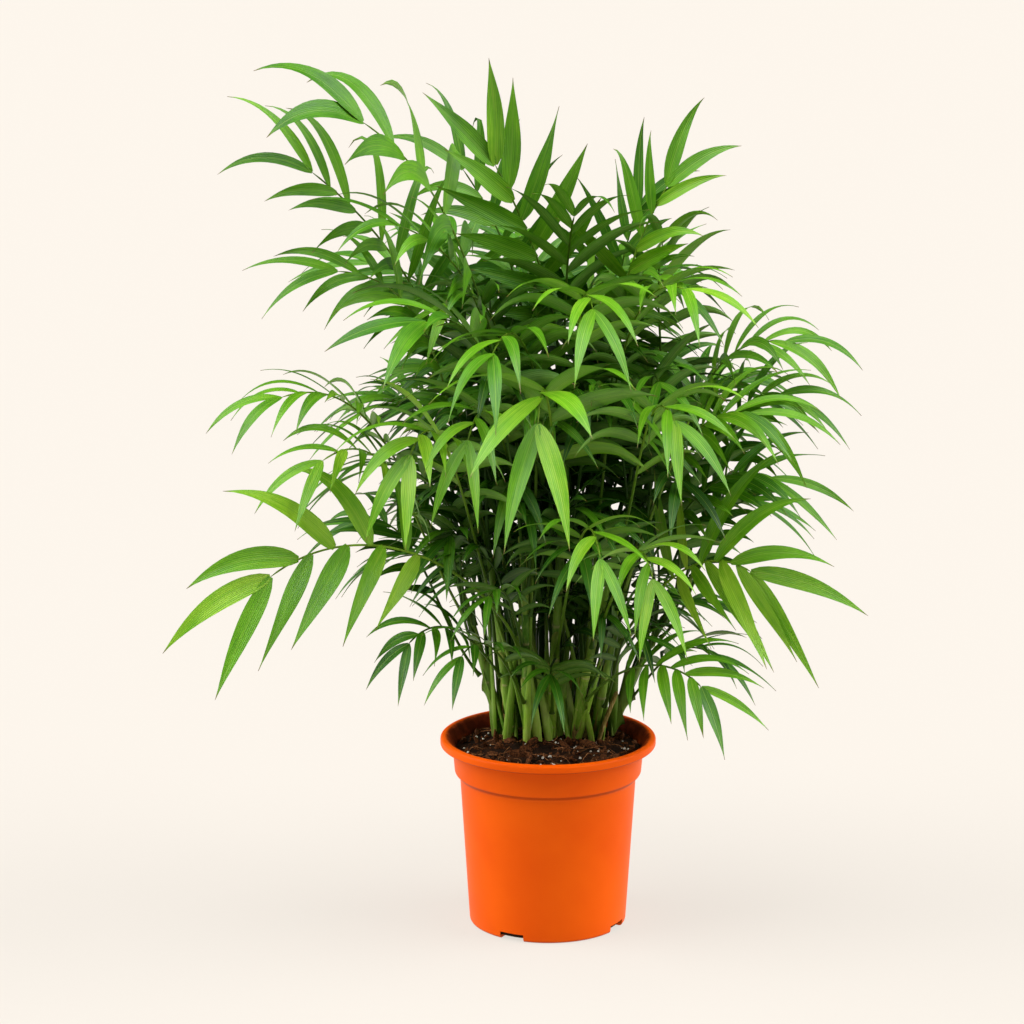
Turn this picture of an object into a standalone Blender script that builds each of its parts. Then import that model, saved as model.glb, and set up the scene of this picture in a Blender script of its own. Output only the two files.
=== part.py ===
"""A parlour palm, Chamaedorea elegans, growing as a clump of seedlings in a plastic nursery pot.

Pieces: the injection-moulded pot, the root ball of potting soil that fills it, the cane-like stems
that stand in the soil, and the feather-shaped fronds that the stems carry. The origin is the centre
of the pot's flat underside, +Z is up and -Y is the plant's front. The pot is the common nursery size,
14 cm across the rim and 12.5 cm tall; the plant's sizes are set by it.
"""

import bisect
import math

import bmesh
import bpy
import numpy as np
from mathutils.bvhtree import BVHTree

MM = 0.001
GAP = 0.3 * MM  # clearance left wherever two pieces meet

# Pot: a tapered body, a wider collar and a rolled lip, all one wall.
POT_HEIGHT = 125 * MM
LIP_RADIUS = 70 * MM
LIP_CREST_RADIUS = 67.5 * MM
LIP_HEIGHT = 5.6 * MM
COLLAR_TOP_RADIUS = 62.2 * MM
COLLAR_FOOT_RADIUS = 60.7 * MM
COLLAR_FOOT = 101 * MM
BODY_TOP = 98.5 * MM
BODY_TOP_RADIUS = 57.2 * MM
BASE_RADIUS = 51 * MM
BASE_CORNER = 2.5 * MM
WALL = 1.3 * MM
FLOOR = 1.6 * MM
POT_SIDES = 40
DRAIN_WIDTH = 17 * MM
DRAIN_HEIGHT = 5 * MM
DRAIN_DEPTH = 12 * MM
DRAIN_TURNS = [62, 152, 242, 332]  # degrees round the pot from +X

# Soil: a root ball whose top sits just under the lip and rises a little to its middle.
SOIL_EDGE = 115.5 * MM
SOIL_TOP = 118 * MM
SOIL_LUMP = 1.6 * MM
SOCKET_DEPTH = 16 * MM

# Stems: thin canes, thickest at the soil.
STEM_FOOT_RADIUS = 3.1 * MM
STEM_TOP_RADIUS = 1.9 * MM
STEM_SIDES = 6

# Foot x, foot y, top x, top y, top z, in mm. The clump leans outwards from the middle of the pot.
STEMS = [
    (-31, 20, -62, 14, 235),
    (-24, 10, -40, -12, 262),
    (-20, 30, -34, 40, 300),
    (-13, 2, -16, -30, 250),
    (-9, 20, -14, 8, 330),
    (-3, 38, -4, 62, 305),
    (2, 9, 10, -22, 285),
    (8, 24, 8, 20, 355),
    (14, 38, 34, 58, 290),
    (17, 9, 40, -26, 240),
    (22, 26, 30, 12, 330),
    (30, 15, 62, -4, 270),
    (34, 38, 66, 44, 285),
    (41, 27, 92, 20, 225),
    (-16, 43, -50, 60, 260),
]

# Fronds: the midrib is a square-ended arch from its node on a stem to its tip.
RIB_FOOT = 1.1 * MM  # half-width of the midrib where it leaves the stem
RIB_TIP = 0.55 * MM
LEAF_THICKNESS = 0.8 * MM
LIFTS = [0, 14, -14, 28, -28]  # degrees a leaflet may turn up or down to pass another
TRIMS = [1.0, 0.75, 0.5, 0.32]  # and the part of its length that it keeps

# Stem, node height, tip x, y, z (mm), lean from the stem at the start and pitch at the tip (degrees),
# leaflet pairs, leaflet length (mm), roll of the blade about the midrib (degrees), then leaflet width
# as a part of its length, droop, and the bare part of the midrib.
FRONDS = [
    (0, 235, -166, -60, 360, 12, -10, 8, 58, 14, 0.125, 1.4, 0.42),
    (0, 200, -140, -85, 325, 18, -20, 7, 60, 30, 0.12, 1.2, 0.42),
    (0, 160, -125, 50, 255, 30, -20, 7, 58, 25, 0.12, 1.1, 0.42),
    (1, 262, -132, -30, 434, 14, 5, 8, 64, 40, 0.12, 1.5, 0.42),
    (1, 215, -85, -115, 335, 18, -45, 7, 66, 20, 0.14, 1.3, 0.42),
    (1, 165, -88, -70, 205, 30, -30, 6, 46, 30, 0.14, 1.1, 0.42),
    (2, 300, -148, -15, 494, 22, 38, 9, 78, 62, 0.11, 1.1, 0.42),
    (2, 250, -112, 60, 425, 20, 5, 7, 62, 30, 0.12, 1.2, 0.42),
    (3, 250, -75, -105, 415, 8, -5, 6, 80, 20, 0.16, 1.1, 0.42),
    (3, 185, -171, -110, 258, 18, -30, 5, 88, 66, 0.15, 0.9, 0.52),
    (3, 150, -55, -75, 198, 25, -30, 5, 44, 10, 0.14, 1.1, 0.42),
    (4, 330, -115, -40, 528, 24, 34, 5, 84, 40, 0.19, 2.0, 0.5),
    (4, 280, -92, -50, 465, 16, 20, 7, 68, 30, 0.12, 1.2, 0.42),
    (4, 230, -50, -120, 345, 18, -45, 7, 64, 10, 0.125, 1.2, 0.42),
    (5, 305, -55, 60, 486, 8, 55, 7, 66, 60, 0.125, 1.2, 0.42),
    (5, 260, -20, 140, 430, 15, 0, 7, 62, 0, 0.12, 1.1, 0.42),
    (5, 215, -70, 140, 340, 20, -20, 6, 60, 0, 0.12, 1.1, 0.42),
    (6, 285, 25, -120, 425, 6, -30, 7, 68, 0, 0.125, 1.3, 0.42),
    (6, 235, -8, -145, 360, 15, -60, 5, 86, 0, 0.16, 1.3, 0.42),
    (6, 180, 30, -135, 275, 20, -45, 5, 58, 0, 0.13, 1.1, 0.42),
    (7, 355, -34, 5, 496, 4, 62, 6, 73, 86, 0.18, 0.4, 0.3),
    (7, 310, 15, -40, 470, 14, 35, 7, 64, 0, 0.12, 1.2, 0.42),
    (7, 260, -35, -130, 400, 18, -25, 7, 68, 0, 0.125, 1.3, 0.42),
    (8, 290, 58, 46, 462, 8, 66, 7, 64, -72, 0.14, 0.8, 0.42),
    (8, 245, 70, 140, 405, 18, 0, 7, 62, 0, 0.12, 1.1, 0.42),
    (8, 200, 20, 150, 310, 24, -20, 6, 60, 0, 0.12, 1.1, 0.42),
    (9, 240, 75, -110, 355, 10, -35, 7, 66, -10, 0.12, 1.3, 0.42),
    (9, 200, 62, -125, 260, 20, -50, 6, 58, -10, 0.13, 1.1, 0.42),
    (9, 150, 96, -60, 174, 25, -34, 6, 54, -35, 0.14, 1.0, 0.42),
    (12, 285, 72, 10, 446, 8, 50, 7, 58, 0, 0.12, 1.2, 0.42),
    (10, 285, 82, -75, 430, 15, -5, 7, 64, -10, 0.12, 1.4, 0.42),
    (11, 270, 126, -35, 345, 12, -5, 8, 66, -35, 0.12, 1.2, 0.42),
    (11, 225, 140, -20, 300, 20, -20, 7, 62, -35, 0.12, 1.1, 0.42),
    (11, 185, 126, -60, 249, 20, -20, 6, 94, -68, 0.115, 0.6, 0.5),
    (10, 330, 74, 2, 483, 10, 60, 7, 64, -66, 0.15, 0.9, 0.42),
    (12, 260, 150, 10, 382, 18, -5, 9, 60, -30, 0.12, 1.5, 0.42),
    (12, 220, 122, 90, 345, 20, -5, 7, 60, -10, 0.12, 1.1, 0.42),
    (13, 225, 148, 10, 348, 14, -5, 8, 62, -30, 0.12, 1.4, 0.42),
    (13, 185, 135, 40, 270, 25, -25, 7, 58, -20, 0.12, 1.1, 0.42),
    (14, 260, -70, 90, 440, 10, 10, 7, 62, 15, 0.12, 1.1, 0.42),
    (14, 215, -108, 90, 330, 20, -10, 7, 58, 15, 0.12, 1.1, 0.42),
    (14, 170, -90, 120, 250, 28, -25, 6, 56, 5, 0.12, 1.1, 0.42),
]


def unit(v):
    """Vectors scaled to length 1, along their last axis."""
    return v / np.linalg.norm(v, axis=-1, keepdims=True)


def lin(code):
    """A #RRGGBB colour as linear RGBA."""
    parts = [int(code[i : i + 2], 16) / 255 for i in (1, 3, 5)]
    return [c / 12.92 if c <= 0.04045 else ((c + 0.055) / 1.055) ** 2.4 for c in parts] + [1]


def material(name, colour, roughness):
    """A Principled material of one colour, with no metal in it."""
    mat = bpy.data.materials.new(name)
    mat.use_nodes = True
    shader = mat.node_tree.nodes["Principled BSDF"]
    shader.inputs["Base Color"].default_value = lin(colour)
    shader.inputs["Roughness"].default_value = roughness
    shader.inputs["Metallic"].default_value = 0
    mat.diffuse_color = lin(colour)
    return mat


def solid(name, points, faces, mat, origin=(0, 0, 0), parent=None):
    """A closed mesh object with its faces turned outwards and its origin at the given point."""
    origin = np.array(origin, float)
    mesh = bpy.data.meshes.new(name)
    mesh.from_pydata((np.array(points) - origin).tolist(), [], faces)
    work = bmesh.new()
    work.from_mesh(mesh)
    bmesh.ops.recalc_face_normals(work, faces=work.faces)
    work.to_mesh(mesh)
    work.free()
    mesh.materials.append(mat)
    mesh.shade_smooth()
    mesh.set_sharp_from_angle(angle=math.radians(40))
    obj = bpy.data.objects.new(name, mesh)
    obj.location = origin.tolist()
    obj.parent = parent
    bpy.context.scene.collection.objects.link(obj)
    return obj


def lathe(profile, sides):
    """Points and faces of a profile of (radius, height) turned round +Z. Both its ends are on the axis."""
    turn = np.arange(sides) * 2 * math.pi / sides
    rings = [[(r * math.cos(a), r * math.sin(a), z) for a in turn] for r, z in profile[1:-1]]
    points = [(0, 0, profile[0][1])] + sum(rings, []) + [(0, 0, profile[-1][1])]
    last = len(points) - 1
    faces = [(0, 1 + (i + 1) % sides, 1 + i) for i in range(sides)]
    for ring in range(len(rings) - 1):
        low = 1 + ring * sides
        for i in range(sides):
            j = (i + 1) % sides
            faces.append((low + i, low + j, low + sides + j, low + sides + i))
    top = last - sides
    faces += [(top + i, top + (i + 1) % sides, last) for i in range(sides)]
    return points, faces


def tube(path, radii, sides):
    """Points and faces of a tube round a path of points, closed by a flat polygon at each end."""
    path = np.array(path)
    along = unit(np.gradient(path, axis=0))
    across = unit(np.cross(along, [0.0, 1.0, 0.0]))
    over = np.cross(across, along)
    points = []
    for p, a, o, r in zip(path, across, over, radii):
        for i in range(sides):
            turn = 2 * math.pi * i / sides
            points.append(p + r * (math.cos(turn) * a + math.sin(turn) * o))
    faces = [list(range(sides)), list(range(len(points) - sides, len(points)))]
    for low in range(0, len(points) - sides, sides):
        for i in range(sides):
            j = (i + 1) % sides
            faces.append([low + i, low + j, low + sides + j, low + sides + i])
    return points, faces


def cut(target, name, shapes):
    """Takes closed shapes, each (points, faces), out of a solid with one exact Boolean."""
    points, faces = [], []
    for some_points, some_faces in shapes:
        start = len(points)
        points += list(some_points)
        faces += [[start + i for i in face] for face in some_faces]
    tool = solid(name, points, faces, target.data.materials[0], parent=target.parent)
    tool.hide_render = True
    tool.display_type = "WIRE"
    modifier = target.modifiers.new(name, "BOOLEAN")
    modifier.operation = "DIFFERENCE"
    modifier.solver = "EXACT"
    modifier.object = tool
    return tool


for old in list(bpy.data.objects):
    bpy.data.objects.remove(old)

plant = bpy.data.objects.new("potted_palm", None)
bpy.context.scene.collection.objects.link(plant)

# ---- Pot -------------------------------------------------------------------------------------------
lip_foot = POT_HEIGHT - LIP_HEIGHT
corner = [math.radians(a) for a in (90, 60, 30, 0)]
outside = [
    (BASE_RADIUS - BASE_CORNER * (1 - math.cos(a)), BASE_CORNER * (1 - math.sin(a))) for a in corner
]
outside += [
    (BODY_TOP_RADIUS, BODY_TOP),
    (COLLAR_FOOT_RADIUS - 0.6 * MM, COLLAR_FOOT - 0.8 * MM),
    (COLLAR_FOOT_RADIUS, COLLAR_FOOT + 0.6 * MM),
    (COLLAR_TOP_RADIUS, lip_foot),
    (LIP_RADIUS - 0.5 * MM, lip_foot),
    (LIP_RADIUS, lip_foot + 0.7 * MM),
    (LIP_RADIUS, POT_HEIGHT - 2 * MM),
    (LIP_RADIUS - 0.9 * MM, POT_HEIGHT - 0.6 * MM),
    (LIP_CREST_RADIUS, POT_HEIGHT),
]
inside = [
    (LIP_CREST_RADIUS - 1.8 * MM, POT_HEIGHT - 0.5 * MM),
    (COLLAR_TOP_RADIUS + 0.2 * MM, POT_HEIGHT - 3.5 * MM),
    (COLLAR_TOP_RADIUS - WALL, lip_foot - 1.2 * MM),
    (COLLAR_FOOT_RADIUS - WALL, COLLAR_FOOT + 0.2 * MM),
    (BODY_TOP_RADIUS - WALL, BODY_TOP - 1.5 * MM),
    (BASE_RADIUS - WALL + 0.1 * MM, FLOOR + 1 * MM),
    (BASE_RADIUS - WALL - 1 * MM, FLOOR),
]
pot_plastic = material("pot plastic", "#E8571A", 0.42)
pot = solid("pot", *lathe([(0, 0)] + outside + inside + [(0, FLOOR)], POT_SIDES), pot_plastic, parent=plant)


def box_at(turn):
    """A box that takes one drain out of the foot of the wall and the edge of the floor."""
    a = math.radians(turn)
    out, side = np.array([math.cos(a), math.sin(a)]), np.array([-math.sin(a), math.cos(a)])
    points = []
    for r in (BASE_RADIUS - DRAIN_DEPTH, BASE_RADIUS + 6 * MM):
        for w in (-DRAIN_WIDTH / 2, DRAIN_WIDTH / 2):
            for z in (-3 * MM, DRAIN_HEIGHT):
                points.append([*(r * out + w * side), z])
    return points, [[0, 1, 3, 2], [4, 6, 7, 5], [0, 4, 5, 1], [2, 3, 7, 6], [0, 2, 6, 4], [1, 5, 7, 3]]


cut(pot, "drain_cutter", [box_at(turn) for turn in DRAIN_TURNS])


# ---- Stems -----------------------------------------------------------------------------------------
def stem_path(stem, t):
    """Points of a stem: straight down into the soil for t below 0, then a curve up to its top at 1."""
    fx, fy, tx, ty, tz = np.array(stem) * MM
    foot, top = np.array([fx, fy, SOIL_TOP]), np.array([tx, ty, tz])
    knee = foot + (top - foot) * [0.35, 0.35, 0.5]
    u = np.clip(t, 0, 1)[:, None]
    curve = (1 - u) ** 2 * foot + 2 * u * (1 - u) * knee + u * u * top
    return curve + np.minimum(t, 0)[:, None] * 2 * (knee - foot)


def stem_at(stem, z):
    """Centre, direction and radius of a stem at a height in metres."""
    t = np.linspace(0, 1, 401)
    points = stem_path(stem, t)
    i = min(bisect.bisect_left(points[:, 2].tolist(), z), 399)
    radius = STEM_FOOT_RADIUS + (STEM_TOP_RADIUS - STEM_FOOT_RADIUS) * t[i]
    return points[i], unit(points[i + 1] - points[i]), radius


def stem_rings(stem, reach, extra):
    """Path and radii of a stem's tube, down to a depth below the soil's top, thickened by extra."""
    rise = 2 * (stem_path(stem, np.array([0.01]))[0, 2] - SOIL_TOP) / 0.02
    t = np.array([-reach / rise, 0, 0.25, 0.5, 0.75, 1])
    radii = STEM_FOOT_RADIUS + (STEM_TOP_RADIUS - STEM_FOOT_RADIUS) * np.clip(t, 0, 1) + extra
    return stem_path(stem, t), radii


# ---- Soil ------------------------------------------------------------------------------------------
wall_inside = sorted((z, r) for r, z in inside)


def soil_radius(z):
    """The pot's inner radius at a height, less the gap."""
    heights, radii = zip(*wall_inside)
    return float(np.interp(z, heights, radii)) - GAP


soil_profile = [(0, FLOOR + GAP), (soil_radius(FLOOR) - 0.2 * MM, FLOOR + GAP)]
soil_profile += [
    (soil_radius(z), z) for z in (FLOOR + 1.4 * MM, BODY_TOP - 1.8 * MM, COLLAR_FOOT + 0.6 * MM, SOIL_EDGE)
]
soil_profile += [(r, SOIL_TOP) for r in (52 * MM, 28 * MM)] + [(0, SOIL_TOP)]
smooth, soil_faces = lathe(soil_profile, POT_SIDES)
crumbled = [
    (x, y, z + SOIL_LUMP * math.sin(131 * x + 1) * math.cos(117 * y + 197 * x))
    if z > SOIL_EDGE + 1 * MM
    else (x, y, z)
    for x, y, z in smooth
]
peat = material("potting soil", "#2E1C12", 0.95)
soil = solid("soil", crumbled, soil_faces, peat, parent=plant)

sockets = []
for stem in STEMS:
    path, radii = stem_rings(stem, SOCKET_DEPTH, GAP)
    down, up = unit(path[0] - path[1]), unit(path[2] - path[1])
    path = np.array([path[0] + GAP * down, path[1], path[1] + 9 * MM * up])
    sockets.append(tube(path, radii[:3] / math.cos(math.pi / 8), 8))
cut(soil, "socket_cutter", sockets)

cane = material("palm stem", "#7C9A3A", 0.5)
for i, stem in enumerate(STEMS):
    path, radii = stem_rings(stem, SOCKET_DEPTH, 0)
    solid(f"stem_{i + 1:02d}", *tube(path, radii, STEM_SIDES), cane, origin=path[1], parent=plant)


# ---- Fronds ----------------------------------------------------------------------------------------
def midrib(frond, t):
    """Points and directions of a frond's midrib, a cubic curve from its node to its tip, and its heading."""
    stem, node, tip_x, tip_y, tip_z, lean, pitch = frond[:7]
    centre, grow, radius = stem_at(STEMS[stem], node * MM)
    tip = np.array([tip_x, tip_y, tip_z]) * MM
    heading = math.atan2(tip[1] - centre[1], tip[0] - centre[0])
    out, up = np.array([math.cos(heading), math.sin(heading), 0]), np.array([0, 0, 1.0])
    off = unit(out - (out @ grow) * grow)
    if node >= STEMS[stem][4]:
        base = stem_path(STEMS[stem], np.array([1.0]))[0] + 2.2 * GAP * grow
    else:
        base = centre + off * (radius + 1.5 * RIB_FOOT + GAP)
    lean, pitch = math.radians(lean), math.radians(pitch)
    reach = 0.38 * np.linalg.norm(tip - base)
    start = math.cos(lean) * grow + math.sin(lean) * off
    p1 = base + reach * start
    p2 = tip - reach * (math.cos(pitch) * out + math.sin(pitch) * up)
    t = np.array(t)[:, None]
    points = (1 - t) ** 3 * base + 3 * t * (1 - t) ** 2 * p1 + 3 * t**2 * (1 - t) * p2 + t**3 * tip
    slope = (1 - t) ** 2 * (p1 - base) + 2 * t * (1 - t) * (p2 - p1) + t**2 * (tip - p2)
    return points, unit(slope), heading


def axes_at(tangents, heading, roll):
    """The blade's sideways and upward directions along the midrib, rolled about it by an angle."""
    aside = np.array([math.sin(heading), -math.cos(heading), 0.0])
    up = unit(np.cross(aside, tangents))
    side = math.cos(roll) * aside + math.sin(roll) * up
    return side, math.cos(roll) * up - math.sin(roll) * aside


def leaflets(frond, seed):
    """Every leaflet of a frond in its natural place: root, frame and size, as a list of dictionaries."""
    pairs, length, roll, width, droop, bare = frond[7:]
    rng = np.random.default_rng(seed)
    found = []
    for pair in range(pairs):
        s = pair / (pairs - 1)
        for hand in (1, -1):
            t = bare + (1 - bare) * s + hand * (1 - bare) * 0.18 / (pairs - 1) * (s < 1)
            point, tangent, heading = midrib(frond, [t])
            side, up = axes_at(tangent, heading, math.radians(roll))
            size = length * (0.74 + 1.05 * s * (1 - s)) * rng.uniform(0.9, 1.08) * MM
            broad = width * length * (0.8 + 0.9 * s * (1 - s)) * rng.uniform(0.9, 1.1) * MM
            if s == 1:
                size, broad = 0.95 * length * MM, 1.2 * broad
            found.append(
                {
                    "pair": pair,
                    "hand": hand,
                    "root": point[0],
                    "along": tangent[0],
                    "side": side[0],
                    "up": up[0],
                    "spread": math.radians(68 - 46 * s**1.2 + rng.uniform(-6, 6)),
                    "lift": math.radians(16 + rng.uniform(-10, 10)),
                    "twist": math.radians(rng.uniform(-25, 25)),
                    "length": size,
                    "width": broad,
                    "droop": droop * rng.uniform(0.6, 1.4),
                }
            )
    return found


def blade(leaf, turn, keep, spare):
    """Two rings and the tip of a leaflet as a list of points, turned up and shortened, grown by spare."""
    lift = leaf["lift"] + math.radians(turn)
    out = math.cos(lift) * leaf["hand"] * leaf["side"] + math.sin(lift) * leaf["up"]
    first = math.cos(leaf["spread"]) * leaf["along"] + math.sin(leaf["spread"]) * out
    u = np.linspace(0, 1, 10)[:, None]
    way = first + u**1.6 * leaf["droop"] * np.array([0, 0, -1.0]) + 0.3 * u * leaf["along"]
    way = unit(way)
    step = (way[1:] + way[:-1]) / 2 * leaf["length"] * keep / 9
    middle = leaf["root"] + np.vstack([np.zeros((1, 3)), np.cumsum(step, axis=0)])
    flat = unit(leaf["up"] - (way @ leaf["up"])[:, None] * way)
    edge = np.cross(flat, way) * leaf["hand"]
    a = leaf["twist"] * u
    edge, flat = np.cos(a) * edge + np.sin(a) * flat, np.cos(a) * flat - np.sin(a) * edge
    rings = []
    for i, part in ((3, 1.0), (6, 0.72)):
        w = part * leaf["width"] / 2 + spare
        h = LEAF_THICKNESS / 2 + spare
        rings += [middle[i] - w * edge[i] + h * flat[i], middle[i] - w * edge[i] - h * flat[i]]
        rings += [middle[i] + w * edge[i] - h * flat[i], middle[i] + w * edge[i] + h * flat[i]]
    return rings + [middle[9] + spare * way[9]]


# A leaflet's skin over its points: the 4 corners of its root on the midrib, its 2 rings, then its tip.
BLADE_SKIN = [(r + i, r + (i + 1) % 4, r + 4 + (i + 1) % 4, r + 4 + i) for r in (0, 4) for i in range(4)]
BLADE_SKIN += [(8 + i, 8 + (i + 1) % 4, 12) for i in range(4)]


def rib_ring(frond, t, skew):
    """Three corners of the midrib at t: its two upper edges, shifted apart along it by skew, and its keel."""
    half = RIB_FOOT + (RIB_TIP - RIB_FOOT) * t
    corners = []
    for hand in (1, -1, 0):
        point, tangent, heading = midrib(frond, [min(t + hand * skew, 1.0)])
        side, up = axes_at(tangent, heading, math.radians(frond[9]))
        if hand:
            corners.append(point[0] + half * (hand * side[0] + 0.6 * up[0]))
        else:
            corners.append(point[0] - half * 1.1 * up[0])
    return corners


def rib_stations(frond):
    """(t, skew) of each ring of the midrib: a few on the bare part, then one each side of every pair."""
    pairs, bare = frond[7], frond[12]
    space = (1 - bare) / (pairs - 1)
    half_root = 0.2 * space
    stations = [(bare * part, 0.0) for part in (0, 0.2, 0.4, 0.6, 0.8)]
    for pair in range(pairs - 1):
        t = bare + space * pair
        stations += [(t - half_root, 0.18 * space), (t + half_root, 0.18 * space)]
    return stations + [(1 - half_root, 0.0), (1.0, 0.0)]


def root_rings(leaf):
    """The midrib's ring before a leaflet's root, and which of that ring's corners is the root's upper edge."""
    return 5 + 2 * leaf["pair"], 0 if leaf["hand"] == 1 else 1


def root_corners(frond, leaf):
    """The 4 corners of a leaflet's root, where it leaves the side of the midrib."""
    ring, top = root_rings(leaf)
    stations = rib_stations(frond)
    first, second = rib_ring(frond, *stations[ring]), rib_ring(frond, *stations[ring + 1])
    return [first[top], first[2], second[2], second[top]]


def frond_mesh(frond, leaves, kept):
    """Points and faces of a whole frond, one closed skin: each leaflet grows out of the midrib's side."""
    stations = rib_stations(frond)
    points, faces = [], []
    for t, skew in stations:
        points += rib_ring(frond, t, skew)
    faces += [[0, 1, 2], [len(points) - 3, len(points) - 2, len(points) - 1]]
    roots = {root_rings(leaf): i for i, leaf in enumerate(leaves) if kept[i]}
    for ring in range(len(stations) - 1):
        a, b = 3 * ring, 3 * ring + 3
        faces.append([a, a + 1, b + 1, b])
        for top in (0, 1):
            root = [a + top, a + 2, b + 2, b + top]
            if (ring, top) not in roots:
                faces.append(root)
                continue
            which = roots[ring, top]
            loop = root + list(range(len(points), len(points) + 9))
            points += blade(leaves[which], *kept[which], 0)
            faces += [[loop[k] for k in face] for face in BLADE_SKIN]
    return points, faces


def search_tree(points, faces):
    """Lowest and highest corner of a piece, and its search tree."""
    points = [list(map(float, p)) for p in points]
    return np.min(points, axis=0), np.max(points, axis=0), BVHTree.FromPolygons(points, faces)


def touches(piece, others):
    """Whether a piece's surface crosses that of any other whose box it reaches."""
    low, high, tree = piece
    near = [other for a, b, other in others if not ((low > b).any() or (high < a).any())]
    return any(tree.overlap(other) for other in near)


def grow_leaflets(all_leaves, pieces):
    """Gives every leaflet the least turn and trim that keep it clear. Without any, it is left off."""
    chosen = [[None] * len(leaves) for leaves in all_leaves]
    grown = [(("", 0), piece) for piece in pieces]
    for f, leaves in enumerate(all_leaves):
        rib = ("rib", f)
        grown.append((rib, search_tree(*frond_mesh(FRONDS[f], [], []))))
    tally = {}
    for f, leaves in enumerate(all_leaves):
        for i, leaf in enumerate(leaves):
            root = root_corners(FRONDS[f], leaf)
            mine = (("rib", f), (f, leaf["pair"]))
            others = [piece for owner, piece in grown if owner not in mine]
            for turn, keep in [(turn, keep) for keep in TRIMS for turn in LIFTS]:
                if touches(search_tree(root + blade(leaf, turn, keep, GAP), BLADE_SKIN), others):
                    continue
                chosen[f][i] = (turn, keep)
                slim = search_tree(root + blade(leaf, turn, keep, 0), BLADE_SKIN)
                grown.append(((f, leaf["pair"]), slim))
                break
            tally[chosen[f][i]] = tally.get(chosen[f][i], 0) + 1
    print("leaflets by turn and trim:", tally)
    return chosen


all_leaves = [leaflets(frond, i) for i, frond in enumerate(FRONDS)]
pieces = [search_tree(*tube(*stem_rings(stem, 1 * MM, 0), STEM_SIDES)) for stem in STEMS]
pieces.append(search_tree(*lathe([(0, 0)] + outside + inside + [(0, FLOOR)], POT_SIDES)))
pieces.append(search_tree(crumbled, soil_faces))
chosen = grow_leaflets(all_leaves, pieces)

green = material("palm leaf", "#4E9A1E", 0.45)
for i, frond in enumerate(FRONDS):
    base = midrib(frond, [0.0])[0][0]
    shape = frond_mesh(frond, all_leaves[i], chosen[i])
    solid(f"frond_{i + 1:02d}", *shape, green, origin=base, parent=plant)
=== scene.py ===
# %% [markdown]
# # A parlour palm in a nursery pot
# Chamaedorea elegans is sold as a clump of a dozen or more seedlings in one plastic pot. Each thin
# green cane carries three or four feather-shaped fronds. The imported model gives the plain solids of
# every piece; this lesson gives each its real surface, in the same place. Lengths are in metres.

import math

import bpy
import numpy as np
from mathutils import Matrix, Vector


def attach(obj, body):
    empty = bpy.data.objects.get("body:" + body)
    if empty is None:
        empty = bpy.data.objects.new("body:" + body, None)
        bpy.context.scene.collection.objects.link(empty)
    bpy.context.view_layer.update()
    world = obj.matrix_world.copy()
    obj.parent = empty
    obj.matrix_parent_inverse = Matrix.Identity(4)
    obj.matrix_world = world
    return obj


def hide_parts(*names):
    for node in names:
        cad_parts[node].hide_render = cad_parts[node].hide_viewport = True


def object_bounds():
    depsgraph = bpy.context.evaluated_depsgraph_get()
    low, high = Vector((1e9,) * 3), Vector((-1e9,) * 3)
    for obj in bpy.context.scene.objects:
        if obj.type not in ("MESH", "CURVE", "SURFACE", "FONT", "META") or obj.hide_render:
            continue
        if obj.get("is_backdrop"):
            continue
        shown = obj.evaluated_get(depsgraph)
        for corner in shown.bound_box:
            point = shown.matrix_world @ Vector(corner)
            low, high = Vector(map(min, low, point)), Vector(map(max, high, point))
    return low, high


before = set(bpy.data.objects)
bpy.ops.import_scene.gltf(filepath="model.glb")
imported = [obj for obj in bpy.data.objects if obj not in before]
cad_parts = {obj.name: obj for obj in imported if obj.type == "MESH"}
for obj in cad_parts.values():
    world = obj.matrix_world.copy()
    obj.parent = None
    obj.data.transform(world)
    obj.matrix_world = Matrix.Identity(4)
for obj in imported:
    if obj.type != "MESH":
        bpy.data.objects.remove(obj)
cad_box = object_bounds()
MM = 0.001
rng = np.random.default_rng(7)
print(len(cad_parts), "nodes in the packed model")

# %% [markdown]
# A few small tools serve every piece. Faces of a grid are found once for a whole sheet, and many tubes
# are closed in one go. A section is carried along a line. A mesh takes its points as one array, and a
# node is added with its settings and links in one call.


# %% Grids, tubes, meshes and nodes
def unit(v):
    """Vectors scaled to length 1, along their last axis."""
    return v / np.linalg.norm(v, axis=-1, keepdims=True)


def grid(rows, cols):
    """Quads between rows of points, each row closed: a point, the next in its row, and the two above."""
    r, c = np.meshgrid(np.arange(rows - 1), np.arange(cols), indexing="ij")
    d = (c + 1) % cols
    quads = np.stack([r * cols + c, r * cols + d, (r + 1) * cols + d, (r + 1) * cols + c], -1)
    return quads.reshape(-1, 4)


def tubes(count, rings, sides, start=0):
    """Faces of closed tubes stored one after another: the quads of all, then a flat cap on each end."""
    low = start + rings * sides * np.arange(count)[:, None]
    quads = (grid(rings, sides) + low[..., None]).reshape(-1, 4)
    first = low + np.arange(sides)[::-1]
    last = low + (rings - 1) * sides + np.arange(sides)
    return quads.tolist() + first.tolist() + last.tolist()


def swept(line, across, over, wide, thin, sides):
    """An elliptical section along a line: point = line + wide cos(a) across + thin sin(a) over."""
    a = np.linspace(0, 2 * math.pi, sides, endpoint=False)[:, None]
    line, across, over = line[..., None, :], across[..., None, :], over[..., None, :]
    wide, thin = np.asarray(wide)[..., None, None], np.asarray(thin)[..., None, None]
    return line + wide * np.cos(a) * across + thin * np.sin(a) * over


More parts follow.
